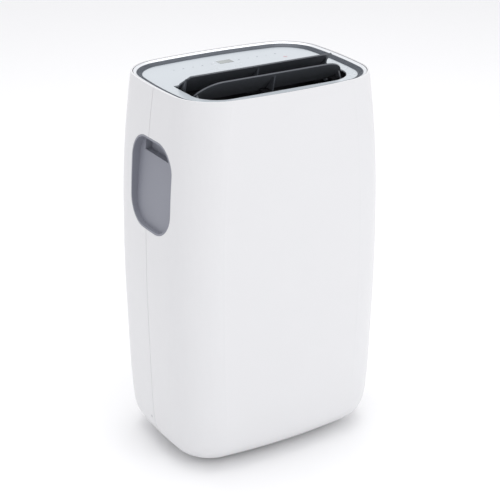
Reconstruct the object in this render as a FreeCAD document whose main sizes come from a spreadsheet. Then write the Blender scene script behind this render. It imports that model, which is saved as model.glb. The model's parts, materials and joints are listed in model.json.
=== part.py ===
import FreeCAD, Part
import Sketcher
import math
import os
from FreeCAD import Placement, Rotation, Vector

# A portable air conditioner. Millimetres, +Z up, the front faces -Y, and the origin is on the
# floor under the middle of the housing. Heights of the outlet are taken down from the rim, and
# heights of the lower chamber are taken up from the base pan.

# ---------------------------------------------------------------- driving dimensions

SIZES = {
    # housing
    "body_w": 432, "body_d": 318, "body_h": 684, "floor_gap": 14, "wall": 3,
    "crown_front": 1060, "crown_side": 800, "corner_r": 84,
    "foot_round_w": 44, "foot_round_h": 62, "foot_inset": 6, "belly_h": 330,
    "rim_inset_x": 24, "rim_inset_y": 9, "taper_power": 2.4,
    "bottom_flange": 10, "seam_y": -8, "seam_gap": 0.8, "lip_reach": 16, "lip_t": 2,
    "part_gap": 0.3,
    # top trim and deck
    "ring_inset": 4.2, "ring_w": 5.5, "ring_top": 0.8, "ring_drop": 2.3, "band_w": 9.7, "band_drop": 4.3,
    "trim_gap": 0.2,
    "deck_drop": 7.5, "deck_t": 2.5, "deck_flange_drop": 14, "deck_flange_t": 2.5,
    "window_w": 28, "window_d": 18, "window_back": 54, "window_t": 1.2,
    "board_w": 236, "board_d": 36, "board_t": 1.6, "board_drop": 15.6,
    # outlet and louvers
    "outlet_margin": 66, "outlet_inset": 39, "outlet_corner": 50,
    "blade_chord": 52, "blade_gap": 1.5, "blade_t": 2.5, "blade_end_gap": 2.5,
    "lip_clear": 3, "rear_clear": 4.5, "pivot_back": 39.6, "pivot_drop": 15.4,
    "arm_t": 3, "arm_end": 5, "boss_r": 6, "louver_pin_r": 2.5, "run_gap": 0.05,
    "link_drop": 14, "link_t": 2, "link_h": 4.4, "louver_tilt": 45, "leaf_reach": 30,
    "leaf_chamfer_x": 13, "leaf_chamfer_y": 20, "link_pin_r": 2,
    "duct_wall": 2, "duct_side_gap": 2, "duct_rear_gap": 7, "duct_depth": 58,
    "vane_h": 20, "vane_chord": 46, "vane_pitch": 76, "vane_t": 1.8, "vane_pin_r": 2,
    "vane_arm": 15, "bar_w": 7, "bar_t": 2.5,
    "guard_bar_x": 5, "guard_bar_y": 3.5, "stepper_r": 14, "stepper_l": 19, "stepper_drop": 8.4,
    # ledges inside the shells, and the housing's screws
    "ledge_x": 95, "ledge_w": 30, "ledge_reach": 25, "ledge_t": 8, "tray_ledge_y": 97,
    "tray_ledge_w": 16, "screw_up": 53, "screw_back": 12, "pan_screw_x": 60,
    # handles
    "handle_w": 138, "handle_h": 165, "handle_r": 48, "handle_y": -17, "handle_drop": 168,
    "handle_lip": 3.5, "handle_floor_low": 10, "handle_floor_high": 28, "handle_t": 2.5,
    "grip_h": 34, "grip_up": 9, "grip_deep": 9, "grip_out": 5,
    # rear openings
    "grille_margin": 70, "grille_t": 4, "grille_gap": 1, "sleeve_t": 2.5, "grille_pin_r": 2,
    "upper_grille_set": 23, "upper_grille_low": 213, "upper_grille_h": 170,
    "lower_grille_set": 17, "lower_grille_low": 56, "lower_grille_h": 216,
    "lower_grille_left": 66, "slot_pitch": 8, "slot_h": 4.4, "filter_t": 2.5,
    "collar_x": 60, "collar_drop": 82, "collar_r": 75, "collar_t": 4, "collar_set": 7,
    "collar_len": 36, "duct_step": 3,
    "drain_x": -110, "drain_r": 8, "drain_bore": 5.5, "cap_r": 10, "cap_t": 4,
    "cord_x": -100, "cord_up": 96, "cord_r": 5, "bush_r": 12, "bush_in": 14, "bush_out": 5,
    # base pan and casters
    "pan_t": 3, "pan_wall_h": 16, "pan_wall_t": 2.5, "caster_x": 118, "caster_y": 62,
    "pocket_r": 32, "pocket_h": 24, "wheel_r": 18, "wheel_w": 7, "fork_w": 8,
    "caster_trail": 10, "stem_r": 4, "stem_l": 10, "axle_r": 2.5,
    # partition and upper chamber
    "upper_h": 243, "tray_t": 3, "tray_wall_h": 14, "tray_inset_x": 36, "tray_inset_y": 16,
    "evap_margin": 76, "coil_d": 24, "evap_y": 100, "coil_pipe_r": 4, "end_plate": 2,
    "upper_fan_r": 66, "fan_l": 60, "scroll_gap": 13, "scroll_t": 2, "upper_fan_x": -12,
    "upper_scroll_y": -112, "fan_blade_l": 12, "fan_blade_t": 1.2, "shaft_r": 4,
    "upper_motor_r": 38, "upper_motor_l": 26,
    # lower chamber
    "compressor_x": -115, "compressor_y": -12, "compressor_r": 55, "compressor_h": 205,
    "mount_up": 32, "mount_h": 12, "mount_r": 12, "foot_r": 70, "bolt_r": 3.9,
    "accumulator_r": 21, "accumulator_h": 110, "accumulator_x": -152, "accumulator_y": 62,
    "condenser_left": 60, "condenser_y": 102, "condenser_up": 42, "condenser_h": 218,
    "lower_fan_r": 76, "lower_fan_up": 172, "lower_scroll_y": -60, "lower_motor_r": 44,
    "lower_motor_l": 44, "riser_w": 106,
    "slinger_r": 23, "slinger_up": 28, "slinger_x": 30, "slinger_motor_r": 17,
    "slinger_motor_l": 30,
    "box_w": 150, "box_d": 62, "box_h": 118, "box_x": -150, "box_y": -132, "box_t": 2,
}


class Dim:
    """A length that carries both its number and the spreadsheet expression behind it."""

    def __init__(self, value, text):
        self.value = value
        self.text = text

    def join(self, other, sign, value, swapped=False):
        left, right = (as_dim(other), self) if swapped else (self, as_dim(other))
        return Dim(value, f"({left.text} {sign} {right.text})")

    def __add__(self, other):
        return self.join(other, "+", self.value + as_dim(other).value)

    __radd__ = __add__

    def __sub__(self, other):
        return self.join(other, "-", self.value - as_dim(other).value)

    def __rsub__(self, other):
        return self.join(other, "-", as_dim(other).value - self.value, swapped=True)

    def __mul__(self, other):
        return self.join(other, "*", self.value * as_dim(other).value)

    __rmul__ = __mul__

    def __truediv__(self, other):
        return self.join(other, "/", self.value / as_dim(other).value)

    def __neg__(self):
        return 0 - self

    def __float__(self):
        return float(self.value)


def as_dim(size):
    if isinstance(size, Dim):
        return size
    text = f"({size})" if size < 0 else str(size)
    return Dim(float(size), text)


class Sizes:
    """The driving dimensions, read by name: S.body_w is the housing's width."""

    def __init__(self, document):
        sheet = document.addObject("Spreadsheet::Sheet", "Sizes")
        for row, (alias, value) in enumerate(SIZES.items(), start=1):
            sheet.set(f"A{row}", alias.replace("_", " "))
            sheet.set(f"B{row}", str(value))
            sheet.setAlias(f"B{row}", alias)
            setattr(self, alias, Dim(float(value), f"Sizes.{alias}"))
        document.recompute()


doc = FreeCAD.newDocument("portable_air_conditioner")
S = Sizes(doc)
NODES = []


# ---------------------------------------------------------------- helpers: primitives

def bind(thing, prop, size):
    thing.setExpression(prop, as_dim(size).text)


def move(thing, x=0, y=0, z=0):
    for axis, size in zip("xyz", (x, y, z)):
        bind(thing, f"Placement.Base.{axis}", size)
    return thing


def node(label, thing):
    """Name a finished piece. Its label becomes its file's name."""
    thing.Label = label
    NODES.append(thing)
    return thing


def box(x, y, z):
    """A block between two values on each axis."""
    block = doc.addObject("Part::Box", "Block")
    for side, (low, high) in zip(("Length", "Width", "Height"), (x, y, z)):
        bind(block, side, high - low)
    return move(block, x[0], y[0], z[0])


ALONG = {"x": Rotation(Vector(0, 1, 0), 90), "y": Rotation(Vector(1, 0, 0), -90), "z": Rotation()}


def rod(axis, centre, span, radius):
    """A cylinder along an axis: centre gives the other two coordinates, span its two ends."""
    piece = doc.addObject("Part::Cylinder", "Rod")
    bind(piece, "Radius", radius)
    bind(piece, "Height", span[1] - span[0])
    piece.Placement = Placement(Vector(), ALONG[axis])
    place = list(centre)
    place.insert("xyz".index(axis), span[0])
    return move(piece, *place)


def fuse(*solids):
    if len(solids) == 1:
        return solids[0]
    joined = doc.addObject("Part::MultiFuse", "Fuse")
    joined.Shapes = list(solids)
    return joined


def cut(base, *tools):
    piece = doc.addObject("Part::Cut", "Cut")
    piece.Base = base
    piece.Tool = fuse(*tools)
    return piece


def common(base, tool):
    piece = doc.addObject("Part::Common", "Common")
    piece.Base = base
    piece.Tool = tool
    return piece


def group(*solids):
    """Separate solids that share one node."""
    held = doc.addObject("Part::Compound", "Group")
    held.Links = list(solids)
    return held


def tube(axis, centre, span, radius, bore):
    return cut(rod(axis, centre, span, radius), rod(axis, centre, (span[0] - 1, span[1] + 1), bore))


def shape(solid, name="Shape"):
    """A shape made with Part's own functions, for outlines that no primitive has."""
    held = doc.addObject("Part::Feature", name)
    held.Shape = solid
    return held


# ---------------------------------------------------------------- helpers: sketched bodies

def body(x=0, y=0, z=0, turn=Rotation()):
    part = doc.addObject("PartDesign::Body", "Body")
    part.Placement = Placement(Vector(), turn)
    return move(part, x, y, z)


def sketch(part, plane, offset=0):
    """A sketch on an origin plane. The offset is along +Z, +X or +Y for XY, YZ and XZ."""
    drawn = part.newObject("Sketcher::SketchObject", "Sketch")
    support = [f for f in part.Origin.OriginFeatures if f.Role == f"{plane}_Plane"][0]
    drawn.AttachmentSupport = [(support, "")]
    drawn.MapMode = "FlatFace"
    bind(drawn, "AttachmentOffset.Base.z", -as_dim(offset) if plane == "XZ" else offset)
    return drawn


def pin_point(drawn, edge, end, point):
    """Hold one end of a line at a bound place in its sketch."""
    for kind, size in zip(("DistanceX", "DistanceY"), point):
        number = drawn.addConstraint(Sketcher.Constraint(kind, -1, 1, edge, end, float(as_dim(size))))
        drawn.setExpression(f"Constraints[{number}]", as_dim(size).text)


def polygon(drawn, points):
    first = drawn.GeometryCount
    places = [Vector(float(as_dim(x)), float(as_dim(y)), 0) for x, y in points]
    for number, point in enumerate(points):
        after = (number + 1) % len(points)
        drawn.addGeometry(Part.LineSegment(places[number], places[after]), False)
    for number, point in enumerate(points):
        after = (number + 1) % len(points)
        drawn.addConstraint(Sketcher.Constraint("Coincident", first + number, 2, first + after, 1))
        pin_point(drawn, first + number, 1, point)
    return drawn


def rectangle(drawn, x, y):
    return polygon(drawn, [(x[0], y[0]), (x[1], y[0]), (x[1], y[1]), (x[0], y[1])])


def circle(drawn, x, y, radius):
    centre = Vector(float(as_dim(x)), float(as_dim(y)), 0)
    edge = drawn.addGeometry(Part.Circle(centre, Vector(0, 0, 1), float(as_dim(radius))), False)
    pin_point(drawn, edge, 3, (x, y))
    number = drawn.addConstraint(Sketcher.Constraint("Radius", edge, float(as_dim(radius))))
    drawn.setExpression(f"Constraints[{number}]", as_dim(radius).text)
    return drawn


def pad(part, drawn, length, both_ways=False, pocket=False, backwards=False):
    kind = "PartDesign::Pocket" if pocket else "PartDesign::Pad"
    feature = part.newObject(kind, "Pocket" if pocket else "Pad")
    feature.Profile = drawn
    bind(feature, "Length", length)
    feature.Midplane = both_ways
    feature.Reversed = backwards
    drawn.Visibility = False
    return feature


def revolve(part, drawn, axis="Z"):
    feature = part.newObject("PartDesign::Revolution", "Revolution")
    feature.Profile = drawn
    line = [f for f in part.Origin.OriginFeatures if f.Role == f"{axis}_Axis"][0]
    feature.ReferenceAxis = (line, [""])
    feature.Angle = 360
    return feature


def turned(profile, x=0, y=0, z=0, along="z"):
    """A turned piece: its profile is (radius, distance along its own axis)."""
    part = body(x, y, z, ALONG[along])
    revolve(part, polygon(sketch(part, "XZ"), profile))
    return part


# ---------------------------------------------------------------- the housing's shape

def rim_z(drop=0):
    """A height measured down from the rim."""
    return S.floor_gap + S.body_h - drop


def pan_z(up=0):
    """A height measured up from the base pan's floor."""
    return S.floor_gap + S.wall + S.pan_t + up


def plan(half_w, half_d, corner, height):
    """The crowned rectangle seen from above: four shallow arcs joined by four corner arcs."""
    front = float(S.crown_front) - (float(S.body_d) / 2 - half_d)
    side = float(S.crown_side) - (float(S.body_w) / 2 - half_w)
    front_y = half_d - front
    side_x = half_w - side
    # the corner arc's centre lies where circles about the two crown centres meet
    reach = math.hypot(side_x, front_y)
    long, short = front - corner, side - corner
    along = (short ** 2 - long ** 2 + reach ** 2) / (2 * reach)
    away = math.sqrt(short ** 2 - along ** 2)
    ux, uy = -side_x / reach, front_y / reach
    cx = side_x + ux * along - uy * away
    cy = uy * along + ux * away
    if cx < 0 or cy < 0:
        cx = side_x + ux * along + uy * away
        cy = uy * along - ux * away
    toward_front = Vector(cx, cy - front_y, 0).normalize() * corner
    toward_side = Vector(cx - side_x, cy, 0).normalize() * corner
    middle = (toward_front + toward_side).normalize() * corner
    centre = Vector(cx, cy, 0)
    quarter = [centre + toward_side, centre + middle, centre + toward_front]

    def at(point, flip_x, flip_y):
        return Vector(point.x * flip_x, point.y * flip_y, height)

    corners = []
    for flip_x, flip_y in ((1, 1), (-1, 1), (-1, -1), (1, -1)):
        points = [at(p, flip_x, flip_y) for p in quarter]
        corners.append(points if flip_x * flip_y > 0 else points[::-1])
    tops = [Vector(0, half_d, height), Vector(-half_w, 0, height),
            Vector(0, -half_d, height), Vector(half_w, 0, height)]
    edges = []
    for number, points in enumerate(corners):
        edges.append(Part.Arc(*points).toShape())
        after = corners[(number + 1) % 4]
        edges.append(Part.Arc(points[2], tops[number], after[0]).toShape())
    return Part.Wire(edges)


def taper(height):
    """How far the side stands in from the widest plan at a height above the foot, 0 to 1 at the rim."""
    rise = (height - float(S.belly_h)) / (float(S.body_h) - float(S.belly_h))
    return max(rise, 0) ** float(S.taper_power)


def section(height, inset, foot):
    """One level of the housing, with the wall's depth and the foot's rounding taken off."""
    low = max((float(S.belly_h) - height) / (float(S.belly_h) - float(S.foot_round_h)), 0)
    tuck = float(S.foot_inset) * min(low, 1) ** 2
    in_x = float(S.rim_inset_x) * taper(height) + tuck + foot + inset
    in_y = float(S.rim_inset_y) * taper(height) + tuck + foot + inset
    corner = float(S.corner_r) - foot - inset - float(S.rim_inset_x) * taper(height) / 6
    return plan(float(S.body_w) / 2 - in_x, float(S.body_d) / 2 - in_y, corner,
                float(S.floor_gap) + height)


def hull(inset=0):
    """The housing as one closed form, a given depth inside its surface and drawn on past the rim."""
    foot_h = float(S.foot_round_h)
    levels = []
    for angle in (90, 68, 45, 22):
        turn = math.radians(angle)
        height = foot_h - (foot_h - inset) * math.sin(turn)
        levels.append((height, (float(S.foot_round_w) - inset) * (1 - math.cos(turn))))
    steps = 6
    rise = (float(S.body_h) - foot_h) / steps
    levels += [(foot_h + rise * step, 0) for step in range(steps + 1)]
    levels.append((float(S.body_h) + OVER, 0))
    return Part.makeLoft([section(height, inset, foot) for height, foot in levels], True, False)


def slab(x, y, z):
    """A plain block as a shape, for trimming the housing's forms."""
    (x0, x1), (y0, y1), (z0, z1) = [[float(as_dim(end)) for end in pair] for pair in (x, y, z)]
    return Part.makeBox(x1 - x0, y1 - y0, z1 - z0, Vector(x0, y0, z0))


def rim_plan(inset, low, high):
    """A prism of the rim's outline, between two heights measured down from the rim."""
    half_w = float(S.body_w / 2 - S.rim_inset_x) - inset
    half_d = float(S.body_d / 2 - S.rim_inset_y) - inset
    corner = float(S.corner_r - S.rim_inset_x / 6) - inset
    wire = plan(half_w, half_d, corner, float(rim_z(high)))
    return Part.Face(wire).extrude(Vector(0, 0, high - low))


OVER = 8
HALF_W = S.body_w / 2
HALF_D = S.body_d / 2
BELOW_RIM = ((-HALF_W * 2, HALF_W * 2), (-HALF_D * 2, HALF_D * 2), (0, rim_z()))
OUTER = hull().common(slab(*BELOW_RIM))
INNER = hull(float(S.wall))
BACKING = hull(1.0).common(slab(*BELOW_RIM))
GAP = S.part_gap


def rounded_block(u, v, span, radii, along="z"):
    """A block with rounded corners, from low u, low v round to low u, high v."""
    (u0, u1), (v0, v1), (low, high) = [[float(as_dim(end)) for end in p] for p in (u, v, span)]
    radii = [float(as_dim(radius)) for radius in radii]
    to_space = (lambda a, b: Vector(a, b, low)) if along == "z" else (lambda a, b: Vector(low, a, b))
    push = Vector(0, 0, high - low) if along == "z" else Vector(high - low, 0, 0)
    corners = ((u0, v0, 1, 1), (u1, v0, -1, 1), (u1, v1, -1, -1), (u0, v1, 1, -1))
    stops = []
    for (cu, cv, to_u, to_v), radius in zip(corners, radii):
        on_u = (cu + to_u * radius, cv)
        on_v = (cu, cv + to_v * radius)
        slack = radius * (1 - math.sqrt(0.5))
        middle = (cu + to_u * slack, cv + to_v * slack)
        stops.append((on_v, middle, on_u) if to_u == to_v else (on_u, middle, on_v))
    edges = []
    for number, (start, middle, end) in enumerate(stops):
        edges.append(Part.Arc(to_space(*start), to_space(*middle), to_space(*end)).toShape())
        after = stops[(number + 1) % 4][0]
        if math.dist(end, after) > 1e-6:
            edges.append(Part.LineSegment(to_space(*end), to_space(*after)).toShape())
    return Part.Face(Part.Wire(edges)).extrude(push)


def rod_shape(axis, centre, span, radius):
    """A cylinder as a shape, for holes in the housing's forms."""
    place = [float(as_dim(size)) for size in centre]
    place.insert("xyz".index(axis), float(as_dim(span[0])))
    length = float(as_dim(span[1])) - float(as_dim(span[0]))
    way = Vector(*[1 if letter == axis else 0 for letter in "xyz"])
    return Part.makeCylinder(float(as_dim(radius)), length, Vector(*place), way)


# ---------------------------------------------------------------- shared places

SEAM_FRONT = S.seam_y - S.seam_gap / 2
SEAM_REAR = S.seam_y + S.seam_gap / 2
PAN_FLOOR = pan_z()
TRAY_Z = rim_z(S.upper_h)
TRAY_FLOOR = TRAY_Z + S.tray_t
DECK_TOP = rim_z(S.deck_drop)
DUCT_TOP = DECK_TOP - S.deck_t
DUCT_FLOOR = DUCT_TOP - S.duct_depth
OUTLET_HALF = HALF_W - S.outlet_margin
OUTLET_FRONT = S.rim_inset_y + S.outlet_inset - HALF_D
OUTLET_BACK = OUTLET_FRONT + S.lip_clear + 2 * S.blade_chord + S.blade_gap + S.rear_clear
PIVOT_Y = OUTLET_FRONT + S.lip_clear + S.pivot_back
PIVOT_Z = DECK_TOP - S.pivot_drop
BLADE_PITCH = S.blade_chord + S.blade_gap
BLADE_END = OUTLET_HALF - S.blade_end_gap
ARM_X = BLADE_END - S.arm_end - S.arm_t / 2
DUCT_HALF = OUTLET_HALF + S.duct_side_gap
DUCT_FRONT = OUTLET_FRONT - S.duct_side_gap
DUCT_BACK = OUTLET_BACK + S.duct_rear_gap
DUCT_BOSS = 6
GRILLE_HALF = HALF_W - S.grille_margin
HANDLE_Z = rim_z(S.handle_drop)
COLLAR_Z = TRAY_Z - S.collar_drop
SCREW_Z = S.floor_gap + S.screw_up
SCREW_Y = S.seam_y + S.screw_back
PAN_SCREWS = [(x, y) for x in (-S.pan_screw_x, S.pan_screw_x) for y in (-1, 1)]
PAN_SCREW_Y = HALF_D - S.foot_inset - S.foot_round_w - S.bottom_flange / 2 - 1.5


def grille_frame(set_in, left, low, height):
    """The rear opening that a grille fills: its x and z spans, and the panel's outer face."""
    return {"x": (left, GRILLE_HALF), "z": (low, low + height), "y": HALF_D - set_in}


UPPER_GRILLE = grille_frame(S.upper_grille_set, -GRILLE_HALF, rim_z(S.upper_grille_low),
                            S.upper_grille_h)
LOWER_GRILLE = grille_frame(S.lower_grille_set, -S.lower_grille_left, pan_z(S.lower_grille_low),
                            S.lower_grille_h)
UPPER_DRAIN_Z = TRAY_FLOOR + S.drain_r + 0.5
UPPER_DRAIN_Y = HALF_D - 11
LOWER_DRAIN_Z = PAN_FLOOR + S.drain_r + 1.5
LOWER_DRAIN_Y = HALF_D - 24


# ---------------------------------------------------------------- housing shells

def pan_plan(inset, low, high):
    """A prism of the housing's bottom outline, for its opening and the base pan."""
    tuck = float(S.foot_inset + S.foot_round_w) + inset
    wire = plan(float(HALF_W) - tuck, float(HALF_D) - tuck,
                float(S.corner_r - S.foot_round_w) - inset, float(low))
    return Part.Face(wire).extrude(Vector(0, 0, float(high) - float(low)))


def handle_block(shrink, x):
    """The rounded block of the handle's opening, through the side wall."""
    half_w = S.handle_w / 2 - shrink
    half_h = S.handle_h / 2 - shrink
    corner = S.handle_r - shrink
    return rounded_block((S.handle_y - half_w, S.handle_y + half_w),
                         (HANDLE_Z - half_h, HANDLE_Z + half_h), x, [corner] * 4, along="x")


def ledges(side):
    """Blocks inside one shell that carry the deck and the partition tray. side is -1 in front."""
    blocks = []
    for flip in (-1, 1):
        deck_x = sorted((flip * float(S.ledge_x), flip * float(S.ledge_x + S.ledge_w)))
        deck_y = sorted((side * float(HALF_D - S.ledge_reach), side * float(HALF_D)))
        seat = rim_z(S.deck_flange_drop + S.deck_flange_t)
        blocks.append(slab(deck_x, deck_y, (seat - S.ledge_t, seat)))
        tray_x = sorted((flip * float(HALF_W - S.tray_inset_x - 22), flip * float(HALF_W)))
        tray_y = sorted((side * float(S.tray_ledge_y), side * float(S.tray_ledge_y + S.tray_ledge_w)))
        blocks.append(slab(tray_x, tray_y, (TRAY_Z - S.ledge_t, TRAY_Z)))
    return [block.common(BACKING) for block in blocks]


def seam_lip():
    """A strip along each side, inside the seam, that the rear shell laps over."""
    gap = float(GAP)
    wall = float(S.wall)
    low = S.floor_gap + 36
    high = rim_z(26)
    wide = (-HALF_W * 2, HALF_W * 2)
    held = hull(wall - 1).common(slab(wide, (S.seam_y - S.lip_reach, SEAM_FRONT), (low, high)))
    reach = hull(wall + gap).common(
        slab(wide, (SEAM_FRONT - 1, S.seam_y + S.lip_reach + 4), (low, high)))
    core = hull(wall + gap + float(S.lip_t))
    strip = held.fuse(reach).cut(core)
    strip = strip.cut(handle_block(-GAP * 4, wide))
    grip_y = S.handle_w / 3 + S.handle_t + 2
    grip_top = HANDLE_Z + S.handle_h / 2 + S.grip_up + S.handle_t + 2
    strip = strip.cut(slab(wide, (S.handle_y - grip_y, S.handle_y + grip_y), (HANDLE_Z, grip_top)))
    pilot = rod_shape("x", (SCREW_Y, SCREW_Z), (-HALF_W * 2, HALF_W * 2), 1.5)
    return strip.cut(pilot)


def housing_walls():
    through = (-HALF_W * 2, HALF_W * 2)
    flange_top = S.floor_gap + S.wall
    holes = [pan_plan(float(S.bottom_flange), S.floor_gap - 1, flange_top + 1),
             handle_block(0, through)]
    for x, side in PAN_SCREWS:
        holes.append(rod_shape("z", (x, side * PAN_SCREW_Y), (0, flange_top + 1), 2))
        holes.append(rod_shape("z", (x, side * PAN_SCREW_Y), (0, S.floor_gap + 1.6), 3.8))
    return OUTER.cut(INNER).cut(Part.makeCompound(holes))


def front_shell(walls):
    front = walls.common(slab((-HALF_W * 2, HALF_W * 2), (-HALF_D * 2, SEAM_FRONT), (0, rim_z())))
    for piece in [seam_lip()] + ledges(-1):
        front = front.fuse(piece)
    node("front_shell", shape(front))


def rear_shell(walls):
    rear = walls.common(slab((-HALF_W * 2, HALF_W * 2), (SEAM_REAR, HALF_D * 2), (0, rim_z())))
    added = ledges(1)
    holes = []
    for frame in (UPPER_GRILLE, LOWER_GRILLE):
        (x0, x1), (z0, z1), face = frame["x"], frame["z"], frame["y"]
        depth = (face - S.grille_t - S.filter_t - 2, HALF_D)
        sleeve = slab((x0 - S.sleeve_t, x1 + S.sleeve_t), depth, (z0 - S.sleeve_t, z1 + S.sleeve_t))
        added.append(sleeve.common(BACKING))
        holes.append(slab((x0, x1), (depth[0] - 1, HALF_D * 2), (z0, z1)))
        hinge = (face - S.grille_t / 2, z0 + S.grille_gap + S.grille_pin_r + 1)
        holes.append(rod_shape("x", hinge, (x0 - S.sleeve_t - 1, x1 + S.sleeve_t + 1),
                               S.grille_pin_r + S.run_gap))
    cord = (S.cord_x, pan_z(S.cord_up))
    boss = rod_shape("y", cord, (HALF_D - S.bush_in, HALF_D - S.bush_out), S.bush_r + 2)
    added.append(boss)
    holes.append(rod_shape("y", cord, (HALF_D - 20, HALF_D * 2), S.cord_r + 3 + GAP))
    holes.append(rod_shape("y", (S.collar_x, COLLAR_Z), (0, HALF_D * 2), S.collar_r + S.collar_t + GAP))
    for z in (UPPER_DRAIN_Z, LOWER_DRAIN_Z):
        holes.append(rod_shape("y", (S.drain_x, z), (HALF_D / 2, HALF_D * 2), S.cap_r + 0.5))
    for side in (-1, 1):
        out = side * (HALF_W - S.foot_inset - 0.5)
        span = [float(as_dim(end)) for end in (out - side * 1.4, out + side * 10)]
        holes.append(rod_shape("x", (SCREW_Y, SCREW_Z), sorted(span), 2.6))
    holes.append(rod_shape("x", (SCREW_Y, SCREW_Z), (-HALF_W * 2, HALF_W * 2), 1.6))
    for piece in added:
        rear = rear.fuse(piece)
    node("rear_shell", shape(rear.cut(Part.makeCompound(holes))))


def fasteners():
    """The housing's screws and the compressor's bolts with their nuts."""
    screws = []
    for side in (-1, 1):
        seat = side * (HALF_W - S.foot_inset - 0.5 - 1.4)
        head = sorted((seat, seat + side * 1.2), key=float)
        shank = sorted((seat - side * 7, seat), key=float)
        at = (SCREW_Y, SCREW_Z)
        screws.append(fuse(rod("x", at, head, 2.4), rod("x", at, shank, 1.45)))
    for x, side in PAN_SCREWS:
        at = (x, side * PAN_SCREW_Y)
        seat = S.floor_gap + 1.6
        screws.append(fuse(rod("z", at, (seat - 1.4, seat), 3.5), rod("z", at, (seat, PAN_FLOOR), 1.9)))
    for place in mount_places():
        shank = rod("z", place, (MOUNT_Z, FOOT_Z + 12), S.bolt_r)
        screws.append(fuse(shank, rod("z", place, (FOOT_Z + 3, FOOT_Z + 9), S.bolt_r + 3)))
    node("screws_and_bolts", group(*screws))


def handle_cup():
    """The grip recess in the left side: a sloping floor and a finger pocket behind its top edge."""
    half_h = S.handle_h / 2
    y = (S.handle_y - S.handle_w, S.handle_y + S.handle_w)
    low, high = HANDLE_Z - half_h, HANDLE_Z + half_h

    def wedge(deeper):
        points = [(-HALF_W * 2, low - 1), (S.handle_floor_low - HALF_W + deeper, low - 1),
                  (S.handle_floor_high - HALF_W + deeper, high + 1), (-HALF_W * 2, high + 1)]
        corners = [Vector(float(px), float(y[0]), float(pz)) for px, pz in points]
        return Part.Face(Part.makePolygon(corners + corners[:1])).extrude(
            Vector(0, float(y[1] - y[0]), 0))

    through = (-HALF_W * 2, 0)
    grip_y = (S.handle_y - S.handle_w / 3, S.handle_y + S.handle_w / 3)
    grip_z = (high - S.grip_h, high + S.grip_up)
    grip_x = (S.handle_floor_high - HALF_W - S.grip_out,
              S.handle_floor_high - HALF_W + S.grip_deep)
    shell_t = S.handle_t

    def grown(span):
        return (span[0] - shell_t, span[1] + shell_t)

    solid = handle_block(GAP, through).common(wedge(shell_t)).common(OUTER)
    solid = solid.fuse(slab(grown(grip_x), grown(grip_y), grown(grip_z)))
    hollow = handle_block(S.handle_lip, through).common(wedge(0))
    hollow = hollow.fuse(slab(grip_x, grip_y, grip_z))
    return solid.cut(hollow)


def handles():
    left = node("handle_cup_left", shape(handle_cup()))
    right = doc.addObject("Part::Mirroring", "Mirror")
    right.Source = left
    right.Normal = Vector(1, 0, 0)
    node("handle_cup_right", right)


# ---------------------------------------------------------------- deck and trim

def outlet_block(grow, low, high):
    """The outlet's outline: large round corners in front, square ones behind."""
    return rounded_block((-OUTLET_HALF - grow, OUTLET_HALF + grow),
                         (OUTLET_FRONT - grow, OUTLET_BACK + grow), (low, high),
                         [S.outlet_corner + grow, S.outlet_corner + grow, 4, 4])


RING_IN = S.ring_inset + S.ring_w
BAND_OUT = RING_IN + S.trim_gap
BAND_IN = BAND_OUT + S.band_w
DECK_IN = BAND_IN + S.trim_gap
WINDOW_Y = HALF_D - S.rim_inset_y - S.window_back - S.window_d / 2


def rim_ring():
    """The bright bevelled ring: its top slopes down and in, from a little below the rim."""
    drop = float(S.ring_top)
    foot = float(S.deck_flange_drop)
    outer, inner = float(S.ring_inset), float(RING_IN)
    ring = rim_plan(outer, drop, foot).cut(rim_plan(inner, 0, foot + 1))
    node("rim_ring", shape(ring.cut(bevel((inner, drop + float(S.ring_drop)), (outer + 1, drop)))))


def bevel(lower, upper):
    """A widening prism between two inset outlines of the rim, each given by its inset and drop."""
    half_w, half_d = float(HALF_W - S.rim_inset_x), float(HALF_D - S.rim_inset_y)
    corner = float(S.corner_r - S.rim_inset_x / 6)
    wires = [plan(half_w - i, half_d - i, corner - i, float(rim_z(d))) for i, d in (lower, upper)]
    return Part.makeLoft(wires, True, True)


def ribbed_band():
    """The dark band inside the ring: its top slopes on down to the deck."""
    top = float(S.ring_top + S.ring_drop)
    foot = float(S.deck_flange_drop)
    outer, inner = float(BAND_OUT), float(BAND_IN)
    band = rim_plan(outer, top, foot).cut(rim_plan(inner, 0, foot + 1))
    node("ribbed_band", shape(band.cut(bevel((inner, top + float(S.band_drop)), (outer + 0.5, top)))))


def top_deck():
    """The control deck: a plate, a skirt below its edge and a flange that carries the trim rings."""
    edge = float(DECK_IN)
    skirt_in = edge + float(S.deck_t)
    top, under = float(S.deck_drop), float(S.deck_drop + S.deck_t)
    flange, foot = float(S.deck_flange_drop), float(S.deck_flange_drop + S.deck_flange_t)
    deck = rim_plan(edge, top, foot).cut(rim_plan(skirt_in, under, foot + 1))
    deck = deck.fuse(rim_plan(float(S.wall) + 0.5, flange, foot).cut(
        rim_plan(skirt_in - 1, flange - 1, foot + 1)))
    deck = deck.cut(outlet_block(0, DUCT_TOP - 1, DECK_TOP + 1))
    half_w, half_d = S.window_w / 2 + 0.2, S.window_d / 2 + 0.2
    seat = DECK_TOP - S.window_t + 0.2
    pocket = slab((-half_w, half_w), (WINDOW_Y - half_d, WINDOW_Y + half_d), (seat, DECK_TOP + 1))
    deck = deck.cut(pocket)
    board = rim_z(S.board_drop - S.board_t)
    for x in (-1, 1):
        for y in (-1, 1):
            at = (x * (S.board_w / 2 - 8), WINDOW_Y + y * (S.board_d / 2 - 5))
            deck = deck.fuse(rod_shape("z", at, (board, DUCT_TOP + 0.5), 3))
    node("top_deck", shape(deck))


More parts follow.
